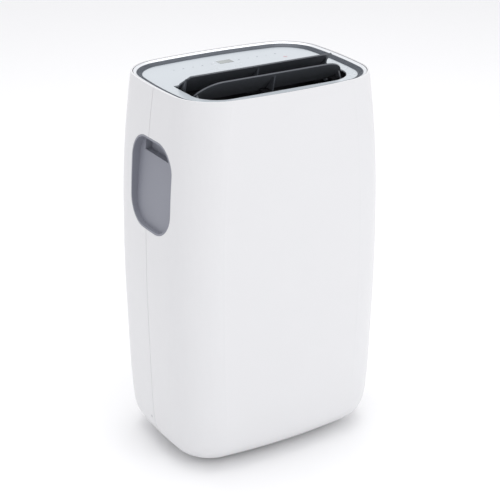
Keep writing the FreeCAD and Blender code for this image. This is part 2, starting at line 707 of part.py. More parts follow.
def display():
    window = body(0, WINDOW_Y, DECK_TOP - S.window_t + 0.2)
    half_w, half_d = S.window_w / 2, S.window_d / 2
    pad(window, rectangle(sketch(window, "XY"), (-half_w, half_w), (-half_d, half_d)), S.window_t)
    node("display_window", window)
    board_z = rim_z(S.board_drop)
    half_w, half_d = S.board_w / 2, S.board_d / 2
    board = box((-half_w, half_w), (WINDOW_Y - half_d, WINDOW_Y + half_d),
                (board_z, board_z + S.board_t))
    digits = box((-10, 10), (WINDOW_Y - 6, WINDOW_Y + 6), (board_z, DUCT_TOP - 0.5))
    chip = box((38, 50), (WINDOW_Y - 6, WINDOW_Y + 6), (board_z - 1.6, board_z + 0.1))
    node("display_board", fuse(board, digits, chip))


# ---------------------------------------------------------------- outlet, louvers and vanes

VANE_COUNT = 4
GUARD_ROWS = 9
GUARD_COLUMNS = 8
VANE_Y = DUCT_FRONT + 62
GUARD_TOP = DUCT_FLOOR + S.duct_wall + 3
VANE_LOW = GUARD_TOP + GAP
VANE_TOP = VANE_LOW + S.vane_h
BAR_LOW = VANE_TOP + GAP
POST_SIDES = (0, ARM_X)
SCROLL_OUT = S.upper_fan_r + S.scroll_gap + S.scroll_t
SCROLL_LEN = S.fan_l + 4 + 2 * S.scroll_t
UPPER_FAN_Z = DUCT_FLOOR - SCROLL_OUT - 2
THROAT_X = (S.upper_fan_x - SCROLL_OUT, S.upper_fan_x + 20)
THROAT_Y = (S.upper_scroll_y, S.upper_scroll_y + SCROLL_LEN)


def inner(span, wall):
    return (span[0] + wall, span[1] - wall)


def outer(span, wall):
    return (span[0] - wall, span[1] + wall)


def duct_block(grow, low, high):
    """The duct's outline, which follows the outlet's round front corners."""
    corner = S.outlet_corner + S.duct_side_gap + grow
    return shape(rounded_block((-DUCT_HALF - grow, DUCT_HALF + grow),
                               (DUCT_FRONT - grow, DUCT_BACK + grow), (low, high),
                               [corner, corner, 4, 4]))


def outlet_duct():
    wall = S.duct_wall
    walls = duct_block(wall, DUCT_FLOOR, DUCT_TOP)
    added = []
    holes = [duct_block(0, DUCT_FLOOR + wall, DUCT_TOP + 1),
             box(inner(THROAT_X, S.scroll_t), inner(THROAT_Y, S.scroll_t),
                 (DUCT_FLOOR - 1, DUCT_FLOOR + wall + 1))]
    for shift in (0, BLADE_PITCH):
        at = (PIVOT_Y + shift, PIVOT_Z)
        for side in (-1, 1):
            span = sorted((side * DUCT_HALF, side * (DUCT_HALF + DUCT_BOSS)), key=float)
            added.append(rod("x", at, span, S.boss_r + 1))
            through = sorted((side * (DUCT_HALF - 1), side * (DUCT_HALF + DUCT_BOSS + 1)), key=float)
            holes.append(rod("x", at, through, S.louver_pin_r + S.run_gap))
    for side in (-1, 1):
        shelf = sorted((side * DUCT_HALF, side * (DUCT_HALF - 16)), key=float)
        bar_y = VANE_Y + S.vane_arm
        added.append(box(shelf, (bar_y - S.bar_w, bar_y + S.bar_w), (BAR_LOW - GAP - 2, BAR_LOW - GAP)))
    hollow = cut(walls, *holes[:2])
    node("outlet_duct", cut(fuse(hollow, *added), *holes[2:]))


def outlet_guard():
    """The finger guard over the blower's throat, with the bearing posts and vane pivots on it."""
    low = DUCT_FLOOR + S.duct_wall
    plate = duct_block(-GAP, low, GUARD_TOP)
    slots = []
    edge = 8
    pitch = (OUTLET_BACK - OUTLET_FRONT - edge - 2) / GUARD_ROWS
    step = 2 * (OUTLET_HALF - edge) / GUARD_COLUMNS
    for row in range(GUARD_ROWS):
        y = OUTLET_FRONT + edge + pitch * row
        for column in range(GUARD_COLUMNS):
            x = edge - OUTLET_HALF + step * column
            slots.append(box((x, x + step - S.guard_bar_x), (y, y + pitch - S.guard_bar_y),
                             (low - 1, GUARD_TOP + 1)))
    pads = [rod("z", (vane_x(number), VANE_Y), (low, GUARD_TOP), 6) for number in range(VANE_COUNT)]
    pivots = [rod("z", (vane_x(number), VANE_Y), (low - 1, GUARD_TOP + 1), S.vane_pin_r + S.run_gap)
              for number in range(VANE_COUNT)]
    posts = []
    bores = []
    for arm in POST_SIDES:
        for shift in (0, BLADE_PITCH):
            y = PIVOT_Y + shift
            posts.append(box((arm - 8, arm - 4), (y - 5, y + 5), (low, PIVOT_Z + S.boss_r)))
            posts.append(box((arm - 20, arm - 4), (y - 6, y + 6), (PIVOT_Z - 14, PIVOT_Z + S.boss_r)))
            bores.append(rod("x", (y, PIVOT_Z), (arm - 21, arm - 3), S.louver_pin_r + S.run_gap))
    node("outlet_guard", cut(fuse(cut(plate, *slots), *pads, *posts), *pivots, *bores))


def vane_x(number):
    return (number - (VANE_COUNT - 1) / 2) * S.vane_pitch


def round_corners(part, feature, radius, pick):
    doc.recompute()
    names = [f"Edge{n}" for n, edge in enumerate(feature.Shape.Edges, start=1) if pick(edge)]
    rounding = part.newObject("PartDesign::Fillet", "Fillet")
    rounding.Base = (feature, names)
    bind(rounding, "Radius", radius)
    return rounding


def louver(label, shift, leaf):
    """A blade drawn shut, about its pivot, and placed tilted open with its front edge up."""
    part = body(0, PIVOT_Y + shift, PIVOT_Z, Rotation(Vector(-1, 0, 0), float(S.louver_tilt)))
    bind(part, "Placement.Rotation.Angle", S.louver_tilt)
    front, back = -S.pivot_back, S.blade_chord - S.pivot_back
    under = S.pivot_drop - S.blade_t
    corner = [(-BLADE_END, front)]
    if not leaf:
        corner = [(-BLADE_END, front + S.leaf_chamfer_y), (S.leaf_chamfer_x - BLADE_END, front)]
    outline = corner + [(BLADE_END, front), (BLADE_END, back), (-BLADE_END, back)]
    blade = pad(part, polygon(sketch(part, "XY", under), outline), S.blade_t)
    if leaf:
        edge_x = float(BLADE_END)
        front_y = float(front)
        round_corners(part, blade, S.outlet_corner - S.blade_end_gap - 1,
                      lambda e: abs(abs(e.CenterOfMass.x) - edge_x) < 0.01
                      and abs(e.CenterOfMass.y - front_y) < 0.01)
    rise = under + S.blade_t / 2
    reach = front + S.leaf_reach if leaf else front + 5
    for x in (-ARM_X, 0, ARM_X):
        start = front + 5 if as_dim(x).value == 0 else reach
        arm = [(start, rise), (back - 3, rise), (5, -3), (-5, -3)]
        pad(part, polygon(sketch(part, "YZ", x), arm), S.arm_t, both_ways=True)
        pad(part, circle(sketch(part, "YZ", x), 0, 0, S.boss_r), S.arm_t, both_ways=True)
    lobe = [(-4, -S.link_drop - 4), (4, -S.link_drop - 4), (4, 0), (-4, 0)]
    pad(part, polygon(sketch(part, "YZ", ARM_X), lobe), S.arm_t, both_ways=True)
    link_pin = circle(sketch(part, "YZ", ARM_X), 0, -S.link_drop, S.link_pin_r)
    pad(part, link_pin, S.arm_t / 2 + S.link_t + 1)
    pin_end = DUCT_HALF + DUCT_BOSS - ARM_X
    pad(part, circle(sketch(part, "YZ", ARM_X), 0, 0, S.louver_pin_r), pin_end)
    for x in POST_SIDES:
        pad(part, circle(sketch(part, "YZ", x), 0, 0, S.louver_pin_r), 16, backwards=True)
    left = sketch(part, "YZ", -ARM_X)
    if leaf:
        bore = circle(left, 0, 0, S.louver_pin_r + S.run_gap)
        pad(part, bore, S.arm_t + 2, both_ways=True, pocket=True)
    else:
        pad(part, circle(left, 0, 0, S.louver_pin_r), pin_end, backwards=True)
    node(label, part)


def louver_link():
    """The bar that makes both blades tilt together, beside the right-hand arms."""
    tilt = math.radians(float(S.louver_tilt))
    drop = S.link_drop * math.cos(tilt)
    back = S.link_drop * math.sin(tilt)
    x = ARM_X + S.arm_t / 2 + 0.3
    bar = body(0, PIVOT_Y - back, PIVOT_Z - drop)
    half = S.link_h / 2
    profile = rectangle(sketch(bar, "YZ", x), (-4, BLADE_PITCH + 4), (-half, half))
    pad(bar, profile, S.link_t)
    holes = sketch(bar, "YZ", x)
    for y in (0, BLADE_PITCH):
        circle(holes, y, 0, S.link_pin_r + S.run_gap)
    pad(bar, holes, S.link_t * 4, both_ways=True, pocket=True)
    node("louver_link", bar)


def louver_motor():
    """A small geared stepper, whose shaft stands above its can's middle."""
    seat = -DUCT_HALF - DUCT_BOSS
    can = rod("x", (PIVOT_Y, PIVOT_Z - S.stepper_drop), (seat - S.stepper_l, seat), S.stepper_r)
    shaft = rod("x", (PIVOT_Y, PIVOT_Z), (seat - 2, S.arm_t / 2 - ARM_X), S.louver_pin_r)
    node("louver_motor", fuse(can, shaft))


def vanes():
    for number in range(VANE_COUNT):
        x = vane_x(number)
        vane = body(x, VANE_Y, VANE_LOW)
        half_t, half_c = S.vane_t / 2, S.vane_chord / 2
        pad(vane, rectangle(sketch(vane, "XY"), (-half_t, half_t), (-half_c, half_c)), S.vane_h)
        pad(vane, circle(sketch(vane, "XY"), 0, 0, 3.5), S.vane_h)
        pin_l = GUARD_TOP - DUCT_FLOOR - S.duct_wall + GAP
        pad(vane, circle(sketch(vane, "XY"), 0, 0, S.vane_pin_r), pin_l, backwards=True)
        pad(vane, circle(sketch(vane, "XY", S.vane_h - 4), 0, S.vane_arm, 1.5), 4 + GAP + S.bar_t + 1)
        node(f"vane_{number + 1}", vane)
    reach = vane_x(VANE_COUNT - 1) + 26
    half = S.bar_w / 2
    bar = body(0, VANE_Y + S.vane_arm, BAR_LOW)
    pad(bar, rectangle(sketch(bar, "XY"), (-reach, reach), (-half, half)), S.bar_t)
    slots = sketch(bar, "XY")
    for number in range(VANE_COUNT):
        x = vane_x(number)
        rectangle(slots, (x - 1.85, x + 1.85), (-3.2, 1.8))
    pad(bar, slots, S.bar_t + 2, pocket=True, backwards=True)
    node("vane_bar", bar)


# ---------------------------------------------------------------- rear grilles, collar and caps

GRILLE_COLUMNS = 3


def grille(name, frame):
    """A slotted panel hinged on two pins at its lower edge, with its dust filter behind it."""
    (x0, x1), (z0, z1), face = frame["x"], frame["z"], frame["y"]
    gap = S.grille_gap
    panel = body(0, face, 0)
    low, high = z0 + gap, z1 - gap
    pad(panel, rectangle(sketch(panel, "XZ"), (x0 + gap, x1 - gap), (low, high)), S.grille_t)
    slots = sketch(panel, "XZ")
    step = (x1 - x0 - 2 * gap - 16) / GRILLE_COLUMNS
    for column in range(GRILLE_COLUMNS):
        left = x0 + gap + 8 + step * column
        rectangle(slots, (left + 3, left + step - 3), (low + 12, low + 12 + S.slot_h))
    row = pad(panel, slots, S.grille_t * 4, both_ways=True, pocket=True)
    count = int((float(high - low) - 24) / float(S.slot_pitch))
    pattern = panel.newObject("PartDesign::LinearPattern", "Rows")
    pattern.Originals = [row]
    up = [f for f in panel.Origin.OriginFeatures if f.Role == "Z_Axis"][0]
    pattern.Direction = (up, [""])
    bind(pattern, "Length", S.slot_pitch * (count - 1))
    pattern.Occurrences = count
    panel.Tip = pattern
    hinge_z = z0 + gap + S.grille_pin_r + 1
    for side, edge in ((-1, x0), (1, x1)):
        pin = circle(sketch(panel, "YZ", edge - side * (gap + 4)), -S.grille_t / 2, hinge_z, S.grille_pin_r)
        pad(panel, pin, gap + 4 + S.sleeve_t - 0.4, backwards=side < 0)
    node(f"{name}_grille", panel)
    back = face - S.grille_t
    rim = box((x0 + 8, x1 - 8), (back - S.filter_t, back), (low + 6, high - 6))
    panes = []
    for column in range(GRILLE_COLUMNS):
        left = x0 + gap + 8 + step * column
        panes.append(box((left + 5, left + step - 5), (back - S.filter_t - 1, back - 1.4),
                         (low + 12, high - 12)))
    node(f"{name}_filter", cut(rim, *panes))


def collar():
    out = HALF_D - S.collar_set
    at = (S.collar_x, COLLAR_Z)
    span = (out - S.collar_len, out)
    node("exhaust_collar", tube("y", at, span, S.collar_r + S.collar_t, S.collar_r))


def drain_cap(name, y, z):
    plug_r = S.drain_bore - 0.1
    profile = [(0, -8), (plug_r, -8), (plug_r, 0), (S.cap_r, 0), (S.cap_r, S.cap_t), (0, S.cap_t)]
    node(name, turned(profile, S.drain_x, y, z, along="y"))


def cord_bush():
    inside, outside = HALF_D - S.bush_in, HALF_D - S.bush_out
    neck = S.cord_r + 3
    profile = [(S.cord_r, -2), (S.bush_r - 1, -2), (S.bush_r - 1, 0), (neck, 0),
               (neck, outside - inside), (S.bush_r, outside - inside),
               (S.bush_r, outside - inside + 2), (S.cord_r, outside - inside + 2)]
    node("cord_bush", turned(profile, S.cord_x, inside, pan_z(S.cord_up), along="y"))


# ---------------------------------------------------------------- base pan and casters

CASTERS = [("front_left", -1, -1), ("front_right", 1, -1), ("rear_left", -1, 1),
           ("rear_right", 1, 1)]
POCKET_TOP = S.floor_gap + S.pocket_h


def base_pan():
    """The drip pan: a floor, a low wall, four caster pockets and the lower drain's spout."""
    low = S.floor_gap + S.wall
    plate = shape(pan_plan(0.3, low, PAN_FLOOR))
    wall = shape(pan_plan(0.3, low, PAN_FLOOR + S.pan_wall_h).cut(
        pan_plan(float(S.pan_wall_t) + 0.3, low - 1, PAN_FLOOR + S.pan_wall_h + 1)))
    added, holes = [], []
    for _, side_x, side_y in CASTERS:
        at = (side_x * S.caster_x, side_y * S.caster_y)
        added.append(rod("z", at, (low, POCKET_TOP + 3), S.pocket_r + 2.5))
        added.append(rod("z", at, (low, POCKET_TOP + S.stem_l + 3), S.stem_r + 5))
        holes.append(rod("z", at, (low - 1, POCKET_TOP + GAP), S.pocket_r))
        holes.append(rod("z", at, (low, POCKET_TOP + S.stem_l + 1), S.stem_r + S.run_gap))
    spout = (S.drain_x, LOWER_DRAIN_Z)
    start = HALF_D - S.foot_inset - S.foot_round_w - 12
    added.append(rod("y", spout, (start, LOWER_DRAIN_Y), S.drain_r))
    holes.append(rod("y", spout, (start - 1, LOWER_DRAIN_Y + 1), S.drain_bore))
    for x, side in PAN_SCREWS:
        holes.append(rod("z", (x, side * PAN_SCREW_Y), (0, PAN_FLOOR + 1), 1.95))
    for place in mount_places():
        added.append(rod("z", place, (low, MOUNT_Z), S.mount_r + 1))
    node("base_pan", cut(fuse(plate, wall, *added), *holes))


def caster(name, side_x, side_y):
    x, y = side_x * S.caster_x, side_y * S.caster_y
    top = POCKET_TOP
    trail = S.caster_trail
    fork = body(x, y, 0)
    cheek = [(-7, top), (-7, top - 10), (trail - 6, 12), (trail + 6, 12), (10, top - 8), (10, top)]
    pad(fork, polygon(sketch(fork, "YZ"), cheek), S.fork_w, both_ways=True)
    pad(fork, circle(sketch(fork, "XY", top - 2), 0, 0, 12), 2)
    pad(fork, circle(sketch(fork, "XY", top - 2), 0, 0, S.stem_r), S.stem_l + 2)
    bore = circle(sketch(fork, "YZ"), trail, S.wheel_r, S.axle_r + S.run_gap)
    pad(fork, bore, S.fork_w * 2, both_ways=True, pocket=True)
    node(f"caster_fork_{name}", fork)
    inside = S.fork_w / 2 + 0.5
    outside = inside + S.wheel_w
    edge, rim = S.wheel_r - 1.5, S.wheel_r
    profile = [(0, -outside), (edge, -outside), (rim, -outside + 1.5), (rim, -inside - 1.5),
               (edge, -inside), (S.axle_r, -inside), (S.axle_r, inside), (edge, inside),
               (rim, inside + 1.5), (rim, outside - 1.5), (edge, outside), (0, outside)]
    node(f"caster_wheels_{name}", turned(profile, x, y + trail, S.wheel_r, along="x"))


# ---------------------------------------------------------------- blowers, coils and compressor

FAN_BLADES = 30
PADDLES = 8


def squirrel_wheel(label, radius, x, y, z, back):
    """A drum of thin blades between a backing disc and an end ring. back is how far the hub runs."""
    wheel = body(x, y, z, ALONG["y"])
    ring = radius - S.fan_blade_l
    pad(wheel, circle(sketch(wheel, "XY"), 0, 0, radius), 2)
    pad(wheel, circle(sketch(wheel, "XY"), 0, 0, 12), back)
    half = S.fan_blade_t / 2
    blade = pad(wheel, rectangle(sketch(wheel, "XY", 1), (ring + 1, radius - 1), (-half, half)),
                S.fan_l - 2)
    pattern = wheel.newObject("PartDesign::PolarPattern", "Blades")
    pattern.Originals = [blade]
    spin = [f for f in wheel.Origin.OriginFeatures if f.Role == "Z_Axis"][0]
    pattern.Axis = (spin, [""])
    pattern.Angle = 360
    pattern.Occurrences = FAN_BLADES
    wheel.Tip = pattern
    rim = sketch(wheel, "XY", S.fan_l - 3)
    circle(rim, 0, 0, radius)
    circle(rim, 0, 0, ring)
    pad(wheel, rim, 3)
    bore = circle(sketch(wheel, "XY"), 0, 0, S.shaft_r + S.run_gap)
    pad(wheel, bore, S.fan_l, pocket=True, backwards=True)
    node(label, wheel)


def scroll(label, x, z, y, fan_r, throat_x, throat_top, foot):
    """A blower housing: a drum round the fan and a throat up one side of it."""
    out = fan_r + S.scroll_gap + S.scroll_t
    wall = S.scroll_t
    drum = rod("y", (x, z), y, out)
    throat = box(throat_x, y, (z, throat_top))
    air_y = inner(y, wall)
    air = [rod("y", (x, z), air_y, out - wall),
           box(inner(throat_x, wall), air_y, (z, throat_top + 1)),
           rod("y", (x, z), (y[1] - wall - 1, y[1] + 1), fan_r - S.fan_blade_l),
           rod("y", (x, z), (y[0] - 1, y[0] + wall + 1), S.shaft_r + 4)]
    node(label, cut(fuse(drum, throat, *foot), *air))


def motor(label, x, y, z, radius, length, shaft_r, shaft_l):
    """A motor with rounded shoulders, and its shaft along +Y."""
    shoulder = radius * 0.12
    profile = [(0, -length), (radius - shoulder, -length), (radius, shoulder - length),
               (radius, -shoulder), (radius - shoulder, 0), (shaft_r, 0), (shaft_r, shaft_l),
               (0, shaft_l)]
    node(label, turned(profile, x, y, z, along="y"))


def upper_blower():
    x, y, z = S.upper_fan_x, THROAT_Y, UPPER_FAN_Z
    foot = [box((x - 30, x + 30), y, (TRAY_FLOOR, z - SCROLL_OUT + 9))]
    scroll("upper_scroll", x, z, y, S.upper_fan_r, THROAT_X, DUCT_FLOOR, foot)
    start = y[0] + S.scroll_t + 2
    squirrel_wheel("upper_fan", S.upper_fan_r, x, start, z, 24)
    motor("upper_motor", x, y[0], z, S.upper_motor_r, S.upper_motor_l, S.shaft_r, 28)


LOWER_FAN_Z = pan_z(S.lower_fan_up)
LOWER_OUT = S.lower_fan_r + S.scroll_gap + S.scroll_t
RISER_Z = LOWER_FAN_Z + LOWER_OUT + 7
RISER_X = (S.collar_x + LOWER_OUT - S.riser_w, S.collar_x + LOWER_OUT)
LOWER_Y = (S.lower_scroll_y, S.lower_scroll_y + SCROLL_LEN)


def lower_blower():
    x, z = S.collar_x, LOWER_FAN_Z
    low = z - LOWER_OUT
    feet = [box((x + side * 18 - 3, x + side * 18 + 3), inner(LOWER_Y, 6), (PAN_FLOOR, low + 9))
            for side in (-1, 1)]
    scroll("lower_scroll", x, z, LOWER_Y, S.lower_fan_r, RISER_X, RISER_Z, feet)
    start = LOWER_Y[0] + S.scroll_t + 2
    squirrel_wheel("lower_fan", S.lower_fan_r, x, start, z, 24)
    motor("lower_motor", x, LOWER_Y[0], z, S.lower_motor_r, S.lower_motor_l, S.shaft_r, 28)


def discharge_duct():
    """From the lower blower's throat up, then back to the exhaust collar."""
    wall = S.scroll_t
    bore = S.collar_r - S.duct_step
    top = COLLAR_Z + bore + wall
    at = (S.collar_x, COLLAR_Z)
    collar_in = HALF_D - S.collar_set - S.collar_len
    start = LOWER_Y[1] - 18
    solid = fuse(box(RISER_X, LOWER_Y, (RISER_Z, top)), rod("y", at, (start, collar_in), bore + wall))
    air = fuse(box(inner(RISER_X, wall), inner(LOWER_Y, wall), (RISER_Z - 1, top - wall)),
               rod("y", at, (start + wall, collar_in + 1), bore))
    node("discharge_duct", cut(solid, air))


def coil(label, x, y, z, foot_z):
    """A finned coil between two end plates that stand on foot_z, with return bends at the right."""
    plate = S.end_plate
    core = box(x, y, z)
    ends = []
    for span in ((x[0] - plate, x[0]), (x[1], x[1] + plate)):
        ends.append(box(span, y, (z[0] - 4, z[1] + 3)))
        ends.append(box(span, (y[0] - 12, y[0]), (z[0] - 4, z[0] + 16)))
        ends.append(box(span, (y[0] - 12, y[0] - 8), (foot_z, z[0] - 4)))
    bends = []
    pitch = 36
    count = int(float(z[1] - z[0]) / pitch)
    for number in range(count):
        bend = doc.addObject("Part::Torus", "Bend")
        bind(bend, "Radius1", 9)
        bind(bend, "Radius2", S.coil_pipe_r)
        bend.Angle3 = 180
        bend.Placement = Placement(Vector(), Rotation(Vector(0, 0, 1), Vector(1, 0, 0),
                                                      Vector(0, 1, 0), "XYZ"))
        stub_z = z[0] + 18 + pitch * number
        middle = (y[0] + y[1]) / 2
        bends.append(move(bend, x[1] + plate - 0.2, middle, stub_z))
    node(label, fuse(core, *ends, *bends))


def coils():
    evap_x = HALF_W - S.evap_margin
    coil("evaporator_coil", (-evap_x, evap_x), (S.evap_y, S.evap_y + S.coil_d),
         (TRAY_FLOOR + 8, rim_z(68)), TRAY_FLOOR)
    low = pan_z(S.condenser_up)
    coil("condenser_coil", (-S.condenser_left, GRILLE_HALF - 8),
         (S.condenser_y, S.condenser_y + S.coil_d), (low, low + S.condenser_h), PAN_FLOOR)


def partition_tray():
    """The floor of the upper chamber, which catches the evaporator's water."""
    def outline(inset, low, high):
        wire = plan(float(HALF_W - S.tray_inset_x) - inset, float(HALF_D - S.tray_inset_y) - inset,
                    float(S.corner_r - S.tray_inset_x) - inset, float(low))
        return Part.Face(wire).extrude(Vector(0, 0, float(high) - float(low)))

    wall_top = TRAY_FLOOR + S.tray_wall_h
    plate = shape(outline(0, TRAY_Z, TRAY_FLOOR))
    wall = shape(outline(0, TRAY_Z, wall_top).cut(outline(float(S.tray_t), TRAY_Z - 1, wall_top + 1)))
    spout = (S.drain_x, UPPER_DRAIN_Z)
    start = HALF_D - S.tray_inset_y - 12
    added = rod("y", spout, (start, UPPER_DRAIN_Y), S.drain_r)
    holes = [rod("y", spout, (start - 1, UPPER_DRAIN_Y + 1), S.drain_bore),
             rod("z", (S.accumulator_x, S.accumulator_y), (TRAY_Z - 1, TRAY_FLOOR + 1), 6)]
    node("partition_tray", cut(fuse(plate, wall, added), *holes))


MOUNT_ANGLES = (0, 120, 240)
MOUNT_Z = PAN_FLOOR + S.mount_up
FOOT_Z = MOUNT_Z + S.mount_h
COMPRESSOR_TOP = FOOT_Z + S.compressor_h


def mount_places():
    for angle in MOUNT_ANGLES:
        turn = math.radians(angle)
        yield (S.compressor_x + (S.foot_r - 8) * math.cos(turn),
               S.compressor_y + (S.foot_r - 8) * math.sin(turn))


def compressor():
    r, high = S.compressor_r, S.compressor_h
    at = (S.compressor_x, S.compressor_y)
    profile = [(0, 0), (r - 14, 0), (r - 4, 5), (r, 16), (r, high - 16), (r - 4, high - 5),
               (r - 14, high), (0, high)]
    can = turned(profile, *at, FOOT_Z)
    foot = rod("z", at, (FOOT_Z, FOOT_Z + 3), S.foot_r)
    bores = [rod("z", place, (FOOT_Z - 1, FOOT_Z + 4), S.bolt_r + 0.1) for place in mount_places()]
    node("compressor", fuse(can, cut(foot, *bores)))
    node("compressor_mounts", group(*[
        tube("z", place, (MOUNT_Z, FOOT_Z), S.mount_r, S.bolt_r + 0.1) for place in mount_places()]))
    lid_x = (S.compressor_x - 30, S.compressor_x + 8)
    node("terminal_cover", box(lid_x, (S.compressor_y - 15, S.compressor_y + 15),
                               (COMPRESSOR_TOP, COMPRESSOR_TOP + 20)))


ACCUMULATOR_Z = FOOT_Z + 16


def accumulator():
    r, high = S.accumulator_r, S.accumulator_h
    profile = [(0, 0), (r - 8, 0), (r, 10), (r, high - 10), (r - 8, high), (0, high)]
    can = turned(profile, S.accumulator_x, S.accumulator_y, ACCUMULATOR_Z)
    away = Vector(float(S.compressor_x - S.accumulator_x), float(S.compressor_y - S.accumulator_y), 0)
    length = away.Length - float(S.compressor_r) - 0.3
    stub = doc.addObject("Part::Cylinder", "Stub")
    stub.Radius = 6
    stub.Height = length
    stub.Placement = Placement(Vector(), Rotation(Vector(0, 0, 1), away))
    move(stub, S.accumulator_x, S.accumulator_y, ACCUMULATOR_Z + 30)
    node("accumulator", fuse(can, stub))


def slinger():
    """A small wheel in the pan that throws water onto the condenser."""
    x, z = S.slinger_x, PAN_FLOOR + S.slinger_up
    y = S.condenser_y - 10
    wheel = body(x, y - 4, z, ALONG["y"])
    pad(wheel, circle(sketch(wheel, "XY"), 0, 0, 10), 6)
    blade = pad(wheel, rectangle(sketch(wheel, "XY"), (6, S.slinger_r), (-3, 3)), 5)
    pattern = wheel.newObject("PartDesign::PolarPattern", "Paddles")
    pattern.Originals = [blade]
    spin = [f for f in wheel.Origin.OriginFeatures if f.Role == "Z_Axis"][0]
    pattern.Axis = (spin, [""])
    pattern.Angle = 360
    pattern.Occurrences = PADDLES
    wheel.Tip = pattern
    bore = circle(sketch(wheel, "XY"), 0, 0, 2.5 + S.run_gap)
    pad(wheel, bore, 20, pocket=True, backwards=True)
    node("slinger_wheel", wheel)
    face = y - 6
    profile = [(0, -S.slinger_motor_l), (S.slinger_motor_r, -S.slinger_motor_l),
               (S.slinger_motor_r, 0), (2.5, 0), (2.5, 7), (0, 7)]
    can = turned(profile, x, face, z, along="y")
    foot = box((x - 14, x + 14), (face - S.slinger_motor_l + 4, face - 4),
               (PAN_FLOOR, z - S.slinger_motor_r * 0.5))
    node("slinger_motor", fuse(can, foot))


# ---------------------------------------------------------------- controls and pipes

def control_box():
    x, y = (S.box_x, S.box_x + S.box_w), (S.box_y, S.box_y + S.box_d)
    z = (TRAY_Z - S.box_h, TRAY_Z)
    wall = S.box_t
    hollow = box(inner(x, wall), (y[0] - 1, y[1] - wall), inner(z, wall))
    posts = [rod("y", (px, pz), (y[1] - 8, y[1] - wall + 0.5), 4)
             for px in (x[0] + 16, x[1] - 16) for pz in (z[0] + 16, z[1] - 16)]
    node("control_box", fuse(cut(box(x, y, z), hollow), *posts))
    node("control_box_cover", box(x, (y[0] - wall, y[0]), z))
    board_y = (y[1] - 9.6, y[1] - 8)
    board = box(inner(x, 8), board_y, inner(z, 8))
    parts = [((20, 44), 22, (20, 44)), ((54, 74), 14, (24, 52)), ((86, 112), 18, (56, 84)),
             ((24, 58), 10, (60, 82)), ((96, 122), 26, (16, 40))]
    blocks = [box((x[0] + a, x[0] + b), (board_y[0] - tall, board_y[0] + 0.1), (z[0] + c, z[0] + d))
              for (a, b), tall, (c, d) in parts]
    node("control_board", fuse(board, *blocks))


def pipe(label, points, radius, bend):
    """A round pipe through points, its corners eased by arcs."""
    corners = [Vector(*[float(as_dim(size)) for size in point]) for point in points]
    edges = []
    start = corners[0]
    for before, corner, after in zip(corners, corners[1:], corners[2:]):
        back = (before - corner).normalize()
        ahead = (after - corner).normalize()
        first, last = corner + back * bend, corner + ahead * bend
        slack = bend * (math.sqrt(2) - 1)
        middle = corner + (back + ahead).normalize() * slack
        edges.append(Part.LineSegment(start, first).toShape())
        edges.append(Part.Arc(first, middle, last).toShape())
        start = last
    edges.append(Part.LineSegment(start, corners[-1]).toShape())
    path = Part.Wire(edges)
    ring = Part.Wire(Part.Circle(corners[0], corners[1] - corners[0], radius).toShape())
    node(label, shape(path.makePipeShell([ring], True, False)))


def refrigerant_pipes():
    top = COMPRESSOR_TOP
    out_x, out_y = S.compressor_x + 25, S.compressor_y
    coil_y = S.condenser_y + S.coil_d / 2
    coil_top = pan_z(S.condenser_up) + S.condenser_h
    pipe("discharge_pipe", [(out_x, out_y, top), (out_x, out_y, top + 44),
                            (out_x, coil_y, top + 44), (out_x, coil_y, coil_top - 20),
                            (-S.condenser_left - S.end_plate, coil_y, coil_top - 20)], 4, 12)
    x, y = S.accumulator_x, S.accumulator_y
    evap_end = S.evap_margin - HALF_W - S.end_plate
    evap_y = S.evap_y + S.coil_d / 2
    inlet = TRAY_FLOOR + 40
    suction = [(x, y, ACCUMULATOR_Z + S.accumulator_h), (x, y, inlet), (x, evap_y, inlet),
               (evap_end, evap_y, inlet)]
    pipe("suction_pipe", suction, 5, 9)
    helix = Part.makeHelix(6, 60, 6.6)
    ring = Part.Wire(Part.Circle(Vector(6.6, 0, 0), Vector(0, 1, 0), 1.2).toShape())
    tubing = helix.makePipeShell([ring], True, True)
    coil_z = ACCUMULATOR_Z + S.accumulator_h + 100
    tubing.translate(Vector(float(x), float(y), float(coil_z)))
    node("capillary_tube", shape(tubing))


# ---------------------------------------------------------------- build, check and write

def build():
    walls = housing_walls()
    front_shell(walls)
    rear_shell(walls)
    fasteners()
    handles()
    rim_ring()
    ribbed_band()
    top_deck()
    display()
    outlet_duct()
    outlet_guard()
    louver("louver_front", 0, leaf=True)
    louver("louver_rear", BLADE_PITCH, leaf=False)
    louver_link()
    louver_motor()
    vanes()
    grille("upper", UPPER_GRILLE)
    grille("lower", LOWER_GRILLE)
    collar()
    drain_cap("drain_cap_upper", UPPER_DRAIN_Y, UPPER_DRAIN_Z)
    drain_cap("drain_cap_lower", LOWER_DRAIN_Y, LOWER_DRAIN_Z)
    cord_bush()
    base_pan()
    for corner in CASTERS:
        caster(*corner)
    partition_tray()
    upper_blower()
    lower_blower()
    discharge_duct()
    coils()
    compressor()
    accumulator()
    slinger()
    control_box()
    refrigerant_pipes()


def check():
    doc.recompute()
    bad = [f"{thing.Name}: {thing.State}" for thing in doc.Objects
           if "Invalid" in thing.State or "Error" in thing.State]
    for thing in NODES:
        if thing.Shape.isNull() or not thing.Shape.isValid() or not thing.Shape.Solids:
            bad.append(f"{thing.Label}: no valid solid")
    if bad:
        raise RuntimeError("; ".join(bad))


build()
check()
os.makedirs("parts", exist_ok=True)
for thing in NODES:
    thing.Shape.exportStep(f"parts/{thing.Label}.step")
print(len(NODES), "sub-parts written")
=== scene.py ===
# %% [markdown]
# # A portable air conditioner, finished around its engineering model
#
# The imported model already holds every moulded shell, blower, coil and caster at its true size.
# This lesson gives each of them its finish and adds the fine, repeated details that engineering
# solids leave out: the ribs of the trim band, the honeycomb of the air guard, the printed touch
# marks, the woven dust filters, the fins of the coils and the spokes inside the exhaust collar.
#
# Everything is in metres. The unit stands on its casters at Z = 0 and its front faces -Y.

